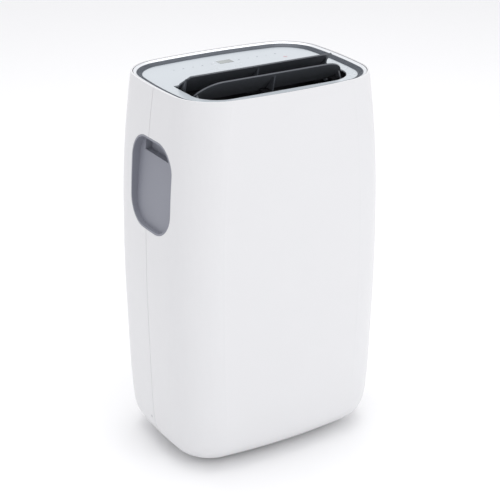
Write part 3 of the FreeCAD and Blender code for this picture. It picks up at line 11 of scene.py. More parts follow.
# %% Load the frame
import json
import math

import bmesh
import bpy
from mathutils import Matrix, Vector


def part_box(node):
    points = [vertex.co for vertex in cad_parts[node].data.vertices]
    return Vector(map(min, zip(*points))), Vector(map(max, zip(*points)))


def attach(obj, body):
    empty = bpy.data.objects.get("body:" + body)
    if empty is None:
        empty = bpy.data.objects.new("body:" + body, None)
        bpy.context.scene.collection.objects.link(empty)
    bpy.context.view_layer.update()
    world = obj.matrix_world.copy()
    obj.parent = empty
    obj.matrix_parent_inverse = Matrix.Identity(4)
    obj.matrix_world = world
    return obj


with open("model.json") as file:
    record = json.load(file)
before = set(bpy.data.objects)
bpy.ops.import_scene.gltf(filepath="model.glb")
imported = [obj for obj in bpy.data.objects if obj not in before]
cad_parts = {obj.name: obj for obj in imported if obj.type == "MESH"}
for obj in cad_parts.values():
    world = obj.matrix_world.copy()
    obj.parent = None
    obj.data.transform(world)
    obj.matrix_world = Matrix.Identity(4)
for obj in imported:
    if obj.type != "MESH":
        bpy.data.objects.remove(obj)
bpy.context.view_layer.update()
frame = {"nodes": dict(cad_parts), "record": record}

MM = 0.001
NODES = frame["nodes"]

# %% [markdown]
# ## The camera comes first
#
# A long lens from a few metres away keeps the tall sides almost parallel, the way product shots
# are taken. The camera is placed by two angles about the middle of the unit, because angles are
# easier to adjust than three coordinates: one turns it round the unit and one lifts it.

# %% Place the camera
AIM = Vector((0, 0, 0.356))
TURN = math.radians(-31.0)
LIFT = math.radians(23.8)
DISTANCE = 2.475
LENS = 97.2

camera = bpy.data.objects.new("camera", bpy.data.cameras.new("camera"))
bpy.context.scene.collection.objects.link(camera)
outward = Vector((math.cos(LIFT) * math.sin(TURN), -math.cos(LIFT) * math.cos(TURN), math.sin(LIFT)))
camera.location = AIM + outward * DISTANCE
camera.rotation_euler = (-outward).to_track_quat("-Z", "Y").to_euler()
camera.data.lens = LENS
bpy.context.scene.camera = camera
print("camera at", [round(c, 3) for c in camera.location])

# %% [markdown]
# ## Floor and soft studio light
#
# White plastic shows its shape only through gentle differences of brightness. A wide lamp in
# front on the right lights the front, a weaker one fills the left side, and one above lights the
# deck. The floor and the world are pale and plain, so that they reflect evenly in the gloss. The
# Standard view keeps near-white plastic near white, where a film-like one would turn it grey.

# %% Build the studio
FLOOR_HALF = 6.0


def floor_sheet():
    corners = [(-1, -1), (1, -1), (1, 1), (-1, 1)]
    mesh = bpy.data.meshes.new("floor")
    mesh.from_pydata([(x * FLOOR_HALF, y * FLOOR_HALF, 0) for x, y in corners], [], [(0, 1, 2, 3)])
    floor = bpy.data.objects.new("floor", mesh)
    bpy.context.scene.collection.objects.link(floor)
    paint = bpy.data.materials.new("studio_floor")
    paint.use_nodes = True
    shader = paint.node_tree.nodes["Principled BSDF"]
    shader.inputs["Base Color"].default_value = (0.93, 0.93, 0.935, 1)
    shader.inputs["Roughness"].default_value = 0.75
    mesh.materials.append(paint)


def softbox(name, place, size, watts):
    lamp = bpy.data.objects.new(name, bpy.data.lights.new(name, "AREA"))
    lamp.data.shape = "RECTANGLE"
    lamp.data.size, lamp.data.size_y = size
    lamp.data.energy = watts
    lamp.location = place
    lamp.rotation_euler = (AIM - Vector(place)).to_track_quat("-Z", "Y").to_euler()
    bpy.context.scene.collection.objects.link(lamp)


floor_sheet()
softbox("key", (1.2, -3.4, 2.0), (2.4, 2.4), 36)
softbox("fill", (-3.4, -0.9, 1.5), (2.2, 2.4), 8)
softbox("top", (0.1, 0.4, 3.2), (2.6, 2.6), 36)
world = bpy.data.worlds.new("studio")
bpy.context.scene.world = world
world.use_nodes = True
world.node_tree.nodes["Background"].inputs["Color"].default_value = (0.985, 0.985, 1.0, 1)
world.node_tree.nodes["Background"].inputs["Strength"].default_value = 0.88
bpy.context.scene.view_settings.view_transform = "Standard"

# %% [markdown]
# ## Helpers for node trees
#
# Shader trees and geometry trees are wired in the same way, so one small function adds a node,
# sets its options and fills its sockets. A socket given another node's socket is linked, and any
# other value is written into it.

# %% Wiring helpers


def add(tree, kind, inputs=None, **options):
    made = tree.nodes.new(kind)
    for name, value in options.items():
        setattr(made, name, value)
    for key, value in (inputs or {}).items():
        if isinstance(value, bpy.types.NodeSocket):
            tree.links.new(value, made.inputs[key])
        else:
            made.inputs[key].default_value = value
    return made


def sockets(tree, side, *described):
    for name, kind, value in described:
        made = tree.interface.new_socket(name, in_out=side, socket_type="NodeSocket" + kind)
        if value is not None:
            made.default_value = value


def maths(tree, operation, first, second=0.0):
    return add(tree, "ShaderNodeMath", {0: first, 1: second}, operation=operation).outputs[0]


# %% [markdown]
# ## Shared surface effects
#
# Three effects turn up in nearly every finish, so each is a shader node group made once:
#
# - **moulded grain**: a steel mould is spark-eroded or blasted, and the plastic copies its fine
#   pebbled texture. Two noises of different size drive a bump.
# - **tone drift**: no moulding is one flat colour. Flow and light ageing shift it very slightly
#   over tens of millimetres.
# - **handling haze**: patches that are touched or dusty scatter light more, so a slow noise
#   moves the roughness up and down about its middle value.

# %% Make the shared groups


def shader_group(name, inputs, outputs):
    tree = bpy.data.node_groups.new(name, "ShaderNodeTree")
    sockets(tree, "INPUT", *inputs)
    sockets(tree, "OUTPUT", *outputs)
    return tree, tree.nodes.new("NodeGroupInput").outputs, tree.nodes.new("NodeGroupOutput").inputs


def grain_group():
    tree, given, result = shader_group(
        "moulded_grain",
        [("Grain", "Float", 0.0006), ("Depth", "Float", 0.00002), ("Waves", "Float", 0.1)],
        [("Normal", "Vector", None)])
    here = add(tree, "ShaderNodeTexCoord").outputs["Object"]
    fine = add(tree, "ShaderNodeTexNoise", {"Vector": here, "Detail": 2.0,
               "Scale": maths(tree, "DIVIDE", 1.0, given["Grain"])}).outputs["Fac"]
    slow = add(tree, "ShaderNodeTexNoise", {"Vector": here, "Scale": 28.0}).outputs["Fac"]
    height = maths(tree, "ADD", fine, maths(tree, "MULTIPLY", slow, given["Waves"]))
    bump = add(tree, "ShaderNodeBump", {"Height": height, "Distance": given["Depth"]})
    tree.links.new(bump.outputs["Normal"], result["Normal"])
    return tree


def drift_group():
    tree, given, result = shader_group(
        "tone_drift",
        [("Color", "Color", (1, 1, 1, 1)), ("Size", "Float", 0.08), ("Amount", "Float", 0.04)],
        [("Color", "Color", None)])
    here = add(tree, "ShaderNodeTexCoord").outputs["Object"]
    noise = add(tree, "ShaderNodeTexNoise", {"Vector": here, "Detail": 3.0,
                "Scale": maths(tree, "DIVIDE", 1.0, given["Size"])}).outputs["Fac"]
    swing = maths(tree, "MULTIPLY", maths(tree, "SUBTRACT", noise, 0.5), given["Amount"])
    value = maths(tree, "ADD", swing, 1.0)
    toned = add(tree, "ShaderNodeHueSaturation", {"Color": given["Color"], "Value": value})
    tree.links.new(toned.outputs["Color"], result["Color"])
    return tree


def haze_group():
    tree, given, result = shader_group(
        "handling_haze",
        [("Roughness", "Float", 0.4), ("Size", "Float", 0.12), ("Spread", "Float", 0.1)],
        [("Roughness", "Float", None)])
    here = add(tree, "ShaderNodeTexCoord").outputs["Object"]
    noise = add(tree, "ShaderNodeTexNoise", {"Vector": here, "Detail": 4.0,
                "Scale": maths(tree, "DIVIDE", 1.0, given["Size"])}).outputs["Fac"]
    swing = maths(tree, "MULTIPLY", maths(tree, "SUBTRACT", noise, 0.5), given["Spread"])
    tree.links.new(maths(tree, "ADD", swing, given["Roughness"]), result["Roughness"])
    return tree


GRAIN = grain_group()
DRIFT = drift_group()
HAZE = haze_group()
print("shared effects:", GRAIN.name, DRIFT.name, HAZE.name)

# %% [markdown]
# ## Plastics
#
# Most of the unit is injection-moulded plastic, which differs only in colour, gloss and grain.
# One function makes them all, and each call below names one real finish. Uniform numbers such
# as the coat and its roughness are set on the shader itself.

# %% Moulded plastics


def moulded(name, colour, rough, grain=0.0006, depth=0.00002, drift=0.03, coat=0.0, waves=0.1):
    paint = bpy.data.materials.new(name)
    paint.use_nodes = True
    tree = paint.node_tree
    shader = tree.nodes["Principled BSDF"]
    tone = add(tree, "ShaderNodeGroup", node_tree=DRIFT)
    tone.inputs["Color"].default_value = (*colour, 1)
    tone.inputs["Amount"].default_value = drift
    haze = add(tree, "ShaderNodeGroup", node_tree=HAZE)
    haze.inputs["Roughness"].default_value = rough
    surface = add(tree, "ShaderNodeGroup", node_tree=GRAIN)
    surface.inputs["Grain"].default_value = grain
    surface.inputs["Depth"].default_value = depth
    surface.inputs["Waves"].default_value = waves
    tree.links.new(tone.outputs["Color"], shader.inputs["Base Color"])
    tree.links.new(haze.outputs["Roughness"], shader.inputs["Roughness"])
    tree.links.new(surface.outputs["Normal"], shader.inputs["Normal"])
    shader.inputs["Coat Weight"].default_value = coat
    shader.inputs["Coat Roughness"].default_value = 0.12
    return paint


FINISH = {
    "shell_white": moulded("satin_white_shell", (0.685, 0.685, 0.697), 0.34, drift=0.02, coat=0.12),
    "deck_grey": moulded("pale_blue_grey_deck", (0.50, 0.54, 0.575), 0.26, grain=0.0004, coat=0.3),
    "band_grey": moulded("dark_grey_band", (0.105, 0.118, 0.14), 0.42),
    "handle_grey": moulded("mid_grey_grip", (0.235, 0.243, 0.283), 0.5, grain=0.0009, depth=0.00004),
    "duct_black": moulded("black_duct", (0.012, 0.012, 0.014), 0.4, grain=0.0008),
    "louver_charcoal": moulded("charcoal_louver", (0.085, 0.092, 0.106), 0.36, coat=0.1),
    "caster_grey": moulded("grey_nylon", (0.09, 0.09, 0.095), 0.5, grain=0.0007),
    "pan_black": moulded("black_pan", (0.03, 0.03, 0.033), 0.55, grain=0.0012, depth=0.00005),
    "liner_grey": moulded("pale_liner", (0.45, 0.45, 0.46), 0.5, grain=0.001),
    "blower_white": moulded("natural_plastic", (0.62, 0.61, 0.57), 0.45),
    "rubber_black": moulded("moulded_rubber", (0.02, 0.02, 0.021), 0.72, grain=0.0011, depth=0.00006),
    "caster_tread": moulded("tread_rubber", (0.028, 0.028, 0.03), 0.68, grain=0.0014, depth=0.00008),
}
print("plastics and rubbers:", len(FINISH))

# %% [markdown]
# ## Metals
#
# Metals differ by how their surface was worked. Plated and brushed steel carries long fine
# scratches, so its noise is stretched along one direction by a Mapping node. Galvanised sheet
# has zinc crystals, which Voronoi cells copy. Drawn copper darkens in patches where it has
# oxidised. The silver trim is not metal at all but painted plastic with fine metal flake.

# %% Worked metals and metallic paint


def metal(name, colour, dark, rough, stretch, scale, bump, metallic=1.0, cells=False):
    paint = bpy.data.materials.new(name)
    paint.use_nodes = True
    tree = paint.node_tree
    shader = tree.nodes["Principled BSDF"]
    here = add(tree, "ShaderNodeTexCoord").outputs["Object"]
    laid = add(tree, "ShaderNodeMapping", {"Vector": here, "Scale": stretch}).outputs["Vector"]
    if cells:
        spots = add(tree, "ShaderNodeTexVoronoi", {"Vector": laid, "Scale": scale})
        pattern = add(tree, "ShaderNodeSeparateColor", {"Color": spots.outputs["Color"]}).outputs[0]
    else:
        pattern = add(tree, "ShaderNodeTexNoise", {"Vector": laid, "Scale": scale,
                                                   "Detail": 5.0}).outputs["Fac"]
    mixed = add(tree, "ShaderNodeMix", {0: pattern, 6: (*colour, 1), 7: (*dark, 1)},
                data_type="RGBA")
    rougher = add(tree, "ShaderNodeMapRange", {"Value": pattern, "To Min": rough - 0.08,
                                               "To Max": rough + 0.1})
    relief = add(tree, "ShaderNodeBump", {"Height": pattern, "Distance": bump})
    tree.links.new(mixed.outputs[2], shader.inputs["Base Color"])
    tree.links.new(rougher.outputs["Result"], shader.inputs["Roughness"])
    tree.links.new(relief.outputs["Normal"], shader.inputs["Normal"])
    shader.inputs["Metallic"].default_value = metallic
    return paint


EVEN = (1, 1, 1)
FINISH["trim_silver"] = metal("silver_flake_trim", (0.84, 0.855, 0.88), (0.74, 0.76, 0.79), 0.3,
                              EVEN, 2400, 0.000004, metallic=0.55)
FINISH["motor_steel"] = metal("plated_steel", (0.62, 0.62, 0.64), (0.42, 0.42, 0.44), 0.34,
                              (1, 0.04, 1), 900, 0.000006)
FINISH["sheet_steel"] = metal("galvanised_sheet", (0.66, 0.68, 0.70), (0.47, 0.49, 0.52), 0.4,
                              EVEN, 130, 0.000004, cells=True)
FINISH["coil_aluminium"] = metal("fin_stock", (0.80, 0.81, 0.83), (0.62, 0.63, 0.66), 0.36,
                                 (1, 1, 0.1), 600, 0.00001)
FINISH["copper"] = metal("drawn_copper", (0.80, 0.42, 0.26), (0.42, 0.20, 0.12), 0.3,
                         EVEN, 60, 0.000004)
FINISH["compressor_black"] = metal("black_enamel", (0.012, 0.012, 0.013), (0.03, 0.03, 0.032), 0.3,
                                   EVEN, 260, 0.00003, metallic=0.0)
print("metals:", [name for name in FINISH if "steel" in name or name in ("copper", "trim_silver")])

# %% [markdown]
# ## Printed circuit and display window
#
# A circuit board is green solder mask over copper tracks, which show as slightly raised, lighter
# paths. A Brick texture gives them their right angles. The display window is a smoked lens: dull
# grey-green when it is off, with a very smooth surface, and its colour grows slowly darker from
# one side to the other.

# %% Board and lens


def circuit():
    paint = bpy.data.materials.new("solder_mask")
    paint.use_nodes = True
    tree = paint.node_tree
    shader = tree.nodes["Principled BSDF"]
    here = add(tree, "ShaderNodeTexCoord").outputs["Object"]
    tracks = add(tree, "ShaderNodeTexBrick", {
        "Vector": here, "Color1": (0.012, 0.10, 0.035, 1), "Color2": (0.014, 0.12, 0.04, 1),
        "Mortar": (0.06, 0.26, 0.10, 1), "Scale": 160.0, "Mortar Size": 0.03})
    relief = add(tree, "ShaderNodeBump", {"Height": tracks.outputs["Fac"], "Distance": 0.00004})
    tree.links.new(tracks.outputs["Color"], shader.inputs["Base Color"])
    tree.links.new(relief.outputs["Normal"], shader.inputs["Normal"])
    shader.inputs["Roughness"].default_value = 0.28
    return paint


def lens():
    paint = bpy.data.materials.new("smoked_lens")
    paint.use_nodes = True
    tree = paint.node_tree
    shader = tree.nodes["Principled BSDF"]
    here = add(tree, "ShaderNodeTexCoord").outputs["Object"]
    along = add(tree, "ShaderNodeSeparateXYZ", {"Vector": here}).outputs["X"]
    fade = add(tree, "ShaderNodeMapRange", {"Value": along, "From Min": -0.014, "From Max": 0.014})
    tint = add(tree, "ShaderNodeMix", {0: fade.outputs["Result"], 6: (0.27, 0.30, 0.29, 1),
                                       7: (0.21, 0.235, 0.235, 1)}, data_type="RGBA")
    tree.links.new(tint.outputs[2], shader.inputs["Base Color"])
    shader.inputs["Roughness"].default_value = 0.14
    shader.inputs["Coat Weight"].default_value = 0.6
    return paint


FINISH["circuit_board"] = circuit()
FINISH["display_lens"] = lens()


def ink(name, colour):
    return moulded(name, colour, 0.5, grain=0.0002, depth=0.000004)


INK_GREY = ink("printed_grey_ink", (0.13, 0.15, 0.19))
INK_RED = ink("printed_red_ink", (0.60, 0.045, 0.07))
print("finishes in all:", len(FINISH))

# %% [markdown]
# ## Give every engineering node its finish
#
# The record names one material slot for each node, so the finishes above are handed out by that
# name. The nodes keep their meshes, which already carry their own smooth normals: only their
# material changes.

# %% Hand out the finishes
SLOT_OF = {part["node"]: part["material_slot"] for part in frame["record"]["subparts"]}
for name, node in NODES.items():
    node.data.materials.clear()
    node.data.materials.append(FINISH[SLOT_OF[name]])
print("finished nodes:", len(NODES))

# %% [markdown]
# ## A builder for repeated details
#
# Geometry Nodes make everything that repeats. Each tree has named inputs for its sizes, ends in
# Realize Instances and Set Material, and works on a seed object. `grow` sets the inputs by their
# socket identifiers, turns the evaluated result into a plain mesh and rides it on its body.

# %% Geometry tree helpers


def geometry_tree(name, *inputs):
    tree = bpy.data.node_groups.new(name, "GeometryNodeTree")
    sockets(tree, "INPUT", ("Geometry", "Geometry", None), *inputs, ("Finish", "Material", None))
    sockets(tree, "OUTPUT", ("Geometry", "Geometry", None))
    return tree, tree.nodes.new("NodeGroupInput").outputs


def close_tree(tree, given, instances):
    real = add(tree, "GeometryNodeRealizeInstances", {"Geometry": instances}).outputs["Geometry"]
    dressed = add(tree, "GeometryNodeSetMaterial", {"Geometry": real, "Material": given["Finish"]})
    end = tree.nodes.new("NodeGroupOutput")
    tree.links.new(dressed.outputs["Geometry"], end.inputs["Geometry"])


def grow(name, tree, sizes, finish, body="housing", seed=None):
    seed = seed or bpy.data.objects.new(name + "_seed", bpy.data.meshes.new(name + "_seed"))
    if seed.name not in bpy.context.scene.collection.objects:
        bpy.context.scene.collection.objects.link(seed)
    build = seed.modifiers.new("Build", "NODES")
    build.node_group = tree
    wanted = dict(sizes, Finish=finish)
    for item in tree.interface.items_tree:
        if item.in_out == "INPUT" and item.name in wanted:
            build[item.identifier] = wanted[item.name]
    graph = bpy.context.evaluated_depsgraph_get()
    mesh = bpy.data.meshes.new_from_object(seed.evaluated_get(graph), depsgraph=graph)
    bpy.data.objects.remove(seed)
    mesh.materials.clear()
    mesh.materials.append(finish)
    mesh.polygons.foreach_set("material_index", [0] * len(mesh.polygons))
    piece = bpy.data.objects.new(name, mesh)
    bpy.context.scene.collection.objects.link(piece)
    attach(piece, body)
    print(f"{name}: {len(mesh.polygons)} faces")
    return piece


# %% [markdown]
# ## Ribs of the trim band
#
# Inside the silver ring runs a dark band that slopes down to the deck, and its top is moulded
# into fine cross ribs. They follow a rounded loop. Rather than guessing that loop, it is read
# from the band's own mesh: the highest outer edge is walked round once, counter-clockwise, and
# moved inward by half the band's width. The tree then steps along that curve and sets a small
# bar across it at each step, leaning with the slope.

# %% Read a ring's edge
BAND_WIDE = 9.7 * MM


def outer_edge(node):
    """The highest outer edge of a ring, as points in counter-clockwise order."""
    work = bmesh.new()
    work.from_mesh(NODES[node].data)
    bmesh.ops.remove_doubles(work, verts=work.verts, dist=0.001 * MM)
    top = max(vertex.co.z for vertex in work.verts)
    beside = {}
    for edge in work.edges:
        level = all(abs(vertex.co.z - top) < 0.01 * MM for vertex in edge.verts)
        if level and sum(face.normal.z > 0.9 for face in edge.link_faces) == 1:
            for vertex, other in (edge.verts, reversed(edge.verts)):
                beside.setdefault(vertex, []).append(other)
    start = max(beside, key=lambda vertex: vertex.co.x)
    onward = max(beside[start], key=lambda vertex: vertex.co.y)
    loop, last, here = [start.co.copy()], start, onward
    while here != start:
        loop.append(here.co.copy())
        last, here = here, next(v for v in beside[here] if v != last)
    work.free()
    return loop


def moved_in(loop, distance):
    """The loop moved towards its inside by that distance."""
    area = sum(a.x * b.y - b.x * a.y for a, b in zip(loop, loop[1:] + loop[:1]))
    side = math.copysign(1, area)
    moved = []
    for before, point, after in zip(loop[-1:] + loop[:-1], loop, loop[1:] + loop[:1]):
        along = (after - before).normalized()
        moved.append(point + Vector((-along.y, along.x, 0)) * side * distance)
    return moved


def loop_curve(name, points, lift):
    curve = bpy.data.curves.new(name, "CURVE")
    curve.dimensions = "3D"
    spline = curve.splines.new("POLY")
    spline.points.add(len(points) - 1)
    for target, point in zip(spline.points, points):
        target.co = (point.x, point.y, point.z + lift, 1)
    spline.use_cyclic_u = True
    return bpy.data.objects.new(name, curve)


band_edge = outer_edge("ribbed_band")
print("points round the band:", len(band_edge))

# %% Grow the cross ribs
RIB_PITCH = 2.3 * MM
BAND_FALL = 4.3 * MM
BAND_EDGE = 0.5 * MM
SLOPE = math.atan2(BAND_FALL, BAND_WIDE - BAND_EDGE)
RIB_BAR = (1.0 * MM, BAND_WIDE / math.cos(SLOPE) - 1.6 * MM, 1.2 * MM)
RIB_PROUD = 0.2 * MM
RIB_LIFT = RIB_PROUD - math.tan(SLOPE) * (BAND_WIDE / 2 - BAND_EDGE)


def ribs_tree():
    tree, given = geometry_tree("cross_ribs", ("Pitch", "Float", 0.002), ("Bar", "Vector", None),
                                ("Lean", "Rotation", None))
    walk = add(tree, "GeometryNodeCurveToPoints", {"Curve": given["Geometry"],
               "Length": given["Pitch"]}, mode="LENGTH")
    turn = add(tree, "FunctionNodeAlignRotationToVector", {"Vector": walk.outputs["Tangent"]},
               axis="X", pivot_axis="Z")
    bar = add(tree, "GeometryNodeMeshCube", {"Size": given["Bar"]})
    leaned = add(tree, "GeometryNodeTransform", {"Geometry": bar.outputs["Mesh"],
                 "Rotation": given["Lean"]})
    placed = add(tree, "GeometryNodeInstanceOnPoints", {"Points": walk.outputs["Points"],
                 "Instance": leaned.outputs["Geometry"], "Rotation": turn.outputs["Rotation"]})
    close_tree(tree, given, placed.outputs["Instances"])
    return tree


rib_path = loop_curve("rib_path", moved_in(band_edge, BAND_WIDE / 2), RIB_LIFT)
grow("trim_ribs", ribs_tree(), {"Pitch": RIB_PITCH, "Bar": RIB_BAR, "Lean": (-SLOPE, 0, 0)},
     FINISH["band_grey"], seed=rib_path)

# %% [markdown]
# ## Honeycomb of the finger guard
#
# Under the louvers a guard keeps fingers out of the blower. Air flows best through thin walls
# with no long slots, so it is a honeycomb. Hexagons pack in a grid whose every second row is
# shifted by half a cell: two plain grids of points, one shifted, do exactly that. Points that
# fall outside the outlet's rounded front corners are deleted before any cell is made.

# %% Grow the honeycomb
CELL = 7.5 * MM
CELL_WALL = 0.9 * MM
CELL_HIGH = 2.2 * MM


def honeycomb_tree():
    tree, given = geometry_tree(
        "honeycomb", ("Columns", "Int", 10), ("Rows", "Int", 10), ("Cell", "Float", 0.007),
        ("Wall", "Float", 0.001), ("High", "Float", 0.002), ("Middle", "Vector", None),
        ("Half width", "Float", 0.1), ("Front", "Float", -0.1), ("Corner", "Float", 0.05))
    cell = given["Cell"]
    row = maths(tree, "MULTIPLY", cell, math.sqrt(3))
    wide = maths(tree, "MULTIPLY", maths(tree, "SUBTRACT", given["Columns"], 1.0), cell)
    deep = maths(tree, "MULTIPLY", maths(tree, "SUBTRACT", given["Rows"], 1.0), row)
    grid = add(tree, "GeometryNodeMeshGrid", {"Size X": wide, "Size Y": deep,
               "Vertices X": given["Columns"], "Vertices Y": given["Rows"]}).outputs["Mesh"]
    half_step = add(tree, "ShaderNodeCombineXYZ", {"X": maths(tree, "MULTIPLY", cell, 0.5),
                    "Y": maths(tree, "MULTIPLY", row, 0.5)}).outputs["Vector"]
    shifted = add(tree, "GeometryNodeTransform", {"Geometry": grid, "Translation": half_step})
    both = tree.nodes.new("GeometryNodeJoinGeometry")
    tree.links.new(grid, both.inputs["Geometry"])
    tree.links.new(shifted.outputs["Geometry"], both.inputs["Geometry"])
    placed = add(tree, "GeometryNodeTransform", {"Geometry": both.outputs["Geometry"],
                 "Translation": given["Middle"]}).outputs["Geometry"]
    here = add(tree, "ShaderNodeSeparateXYZ", {
        "Vector": tree.nodes.new("GeometryNodeInputPosition").outputs["Position"]}).outputs
    inner_x = maths(tree, "SUBTRACT", given["Half width"], given["Corner"])
    inner_y = maths(tree, "ADD", given["Front"], given["Corner"])
    side = maths(tree, "SUBTRACT", maths(tree, "ABSOLUTE", here["X"]), inner_x)
    ahead = maths(tree, "SUBTRACT", inner_y, here["Y"])
    side, ahead = maths(tree, "MAXIMUM", side, 0.0), maths(tree, "MAXIMUM", ahead, 0.0)
    away = maths(tree, "SQRT", maths(tree, "ADD", maths(tree, "MULTIPLY", side, side),
                                     maths(tree, "MULTIPLY", ahead, ahead)))
    outside = maths(tree, "GREATER_THAN", away, maths(tree, "SUBTRACT", given["Corner"], cell))
    kept = add(tree, "GeometryNodeDeleteGeometry", {"Geometry": placed, "Selection": outside},
               domain="POINT").outputs["Geometry"]
    reach = maths(tree, "SUBTRACT", maths(tree, "DIVIDE", cell, math.sqrt(3)),
                  maths(tree, "MULTIPLY", given["Wall"], 0.6))
    ring = add(tree, "GeometryNodeCurvePrimitiveCircle", {"Resolution": 6, "Radius": reach})
    turned = add(tree, "GeometryNodeTransform", {"Geometry": ring.outputs["Curve"],
                 "Rotation": (0, 0, math.radians(30))}).outputs["Geometry"]
    section = add(tree, "GeometryNodeCurvePrimitiveQuadrilateral", {"Width": given["Wall"],
                  "Height": given["High"]}).outputs["Curve"]
    tube = add(tree, "GeometryNodeCurveToMesh", {"Curve": turned, "Profile Curve": section})
    cells = add(tree, "GeometryNodeInstanceOnPoints", {"Points": kept,
                "Instance": tube.outputs["Mesh"]})
    close_tree(tree, given, cells.outputs["Instances"])
    return tree


guard_low, guard_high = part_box("outlet_guard")
GUARD_EDGE = 2.5 * MM
GUARD_CORNER = 50 * MM
ROW_SHIFT = 0.43 * CELL
half_width = guard_high.x - GUARD_EDGE
front = guard_low.y + GUARD_EDGE
depth = guard_high.y - guard_low.y - 2 * GUARD_EDGE
columns = int(2 * half_width / CELL) - 1
rows = int(depth / (CELL * math.sqrt(3)))
middle = (-CELL / 4, (guard_low.y + guard_high.y) / 2 - ROW_SHIFT, guard_low.z + CELL_HIGH / 2)
grow("guard_honeycomb", honeycomb_tree(),
     {"Columns": columns, "Rows": rows, "Cell": CELL, "Wall": CELL_WALL, "High": CELL_HIGH,
      "Middle": middle, "Half width": half_width, "Front": front, "Corner": GUARD_CORNER},
     FINISH["duct_black"])

# %% [markdown]
# ## Rows of bars: dust filters and coil fins
#
# A woven filter is two crossed rows of fine threads, and a coil is one long row of thin fins, so
# one tree serves both. A Mesh Line places points from a start by a fixed step, and a bar of the
# wanted size stands on each. The fins stand slightly proud of the coil's solid block.

# %% Grow the filters and the fins
THREAD = 0.35 * MM
THREAD_PITCH = 2.6 * MM
FIN = 0.4 * MM
FIN_PITCH = 2.4 * MM
FIN_PROUD = 1.2 * MM
FILTER_FRAME = 4 * MM
RETURN_BENDS = 17 * MM
END_PLATE = 2 * MM
EVAPORATOR_BELOW = 9 * MM
CONDENSER_BELOW = 42 * MM
FIN_ABOVE = 4 * MM


def row_tree():
    tree, given = geometry_tree("row_of_bars", ("Count", "Int", 10), ("Start", "Vector", None),
                                ("Step", "Vector", None), ("Bar", "Vector", None))
    line = add(tree, "GeometryNodeMeshLine", {"Count": given["Count"],
               "Start Location": given["Start"], "Offset": given["Step"]}, mode="OFFSET")
    bar = add(tree, "GeometryNodeMeshCube", {"Size": given["Bar"]})
    placed = add(tree, "GeometryNodeInstanceOnPoints", {"Points": line.outputs["Mesh"],
                 "Instance": bar.outputs["Mesh"]})
    close_tree(tree, given, placed.outputs["Instances"])
    return tree


ROW = row_tree()


def woven_filter(side):
    low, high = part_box(f"{side}_filter")
    inset = FILTER_FRAME
    face = high.y - THREAD / 4
    wide, tall = high.x - low.x - 2 * inset, high.z - low.z - 2 * inset
    middle_x, middle_z = (low.x + high.x) / 2, (low.z + high.z) / 2
    body = f"{side}_filter_door"
    grow(f"{side}_filter_upright_threads", ROW,
         {"Count": int(wide / THREAD_PITCH), "Start": (low.x + inset, face, middle_z),
          "Step": (THREAD_PITCH, 0, 0), "Bar": (THREAD, THREAD, tall)},
         FINISH["duct_black"], body)
    grow(f"{side}_filter_level_threads", ROW,
         {"Count": int(tall / THREAD_PITCH), "Start": (middle_x, face, low.z + inset),
          "Step": (0, 0, THREAD_PITCH), "Bar": (wide, THREAD, THREAD)},
         FINISH["duct_black"], body)


def coil_fins(coil, end_plate, below, above):
    low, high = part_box(coil)
    left = low.x + end_plate + FIN_PITCH / 2
    right = high.x - RETURN_BENDS
    back = high.y + FIN_PROUD / 2 - FIN
    tall = high.z - above - low.z - below
    grow(f"{coil}_fins", ROW,
         {"Count": int((right - left) / FIN_PITCH), "Start": (left, back, low.z + below + tall / 2),
          "Step": (FIN_PITCH, 0, 0), "Bar": (FIN, FIN_PROUD, tall)},
         FINISH["coil_aluminium"])


for side in ("upper", "lower"):
    woven_filter(side)
coil_fins("evaporator_coil", END_PLATE, EVAPORATOR_BELOW, FIN_ABOVE)
coil_fins("condenser_coil", END_PLATE, CONDENSER_BELOW, FIN_ABOVE)

# %% [markdown]
# ## Wheels of spokes: the exhaust guard and the caster hubs
#
# The exhaust collar has a wheel of thin spokes and rings inside it, so that nothing falls into
# the hose, and each caster's hub is stiffened by spokes in the same pattern. The tree works flat
# about the centre: bars on the points of a circle are turned to face outwards, and one circle is
# repeated at growing scales. Last it is turned to face its axis and moved to its place.

# %% Grow the spoked wheels


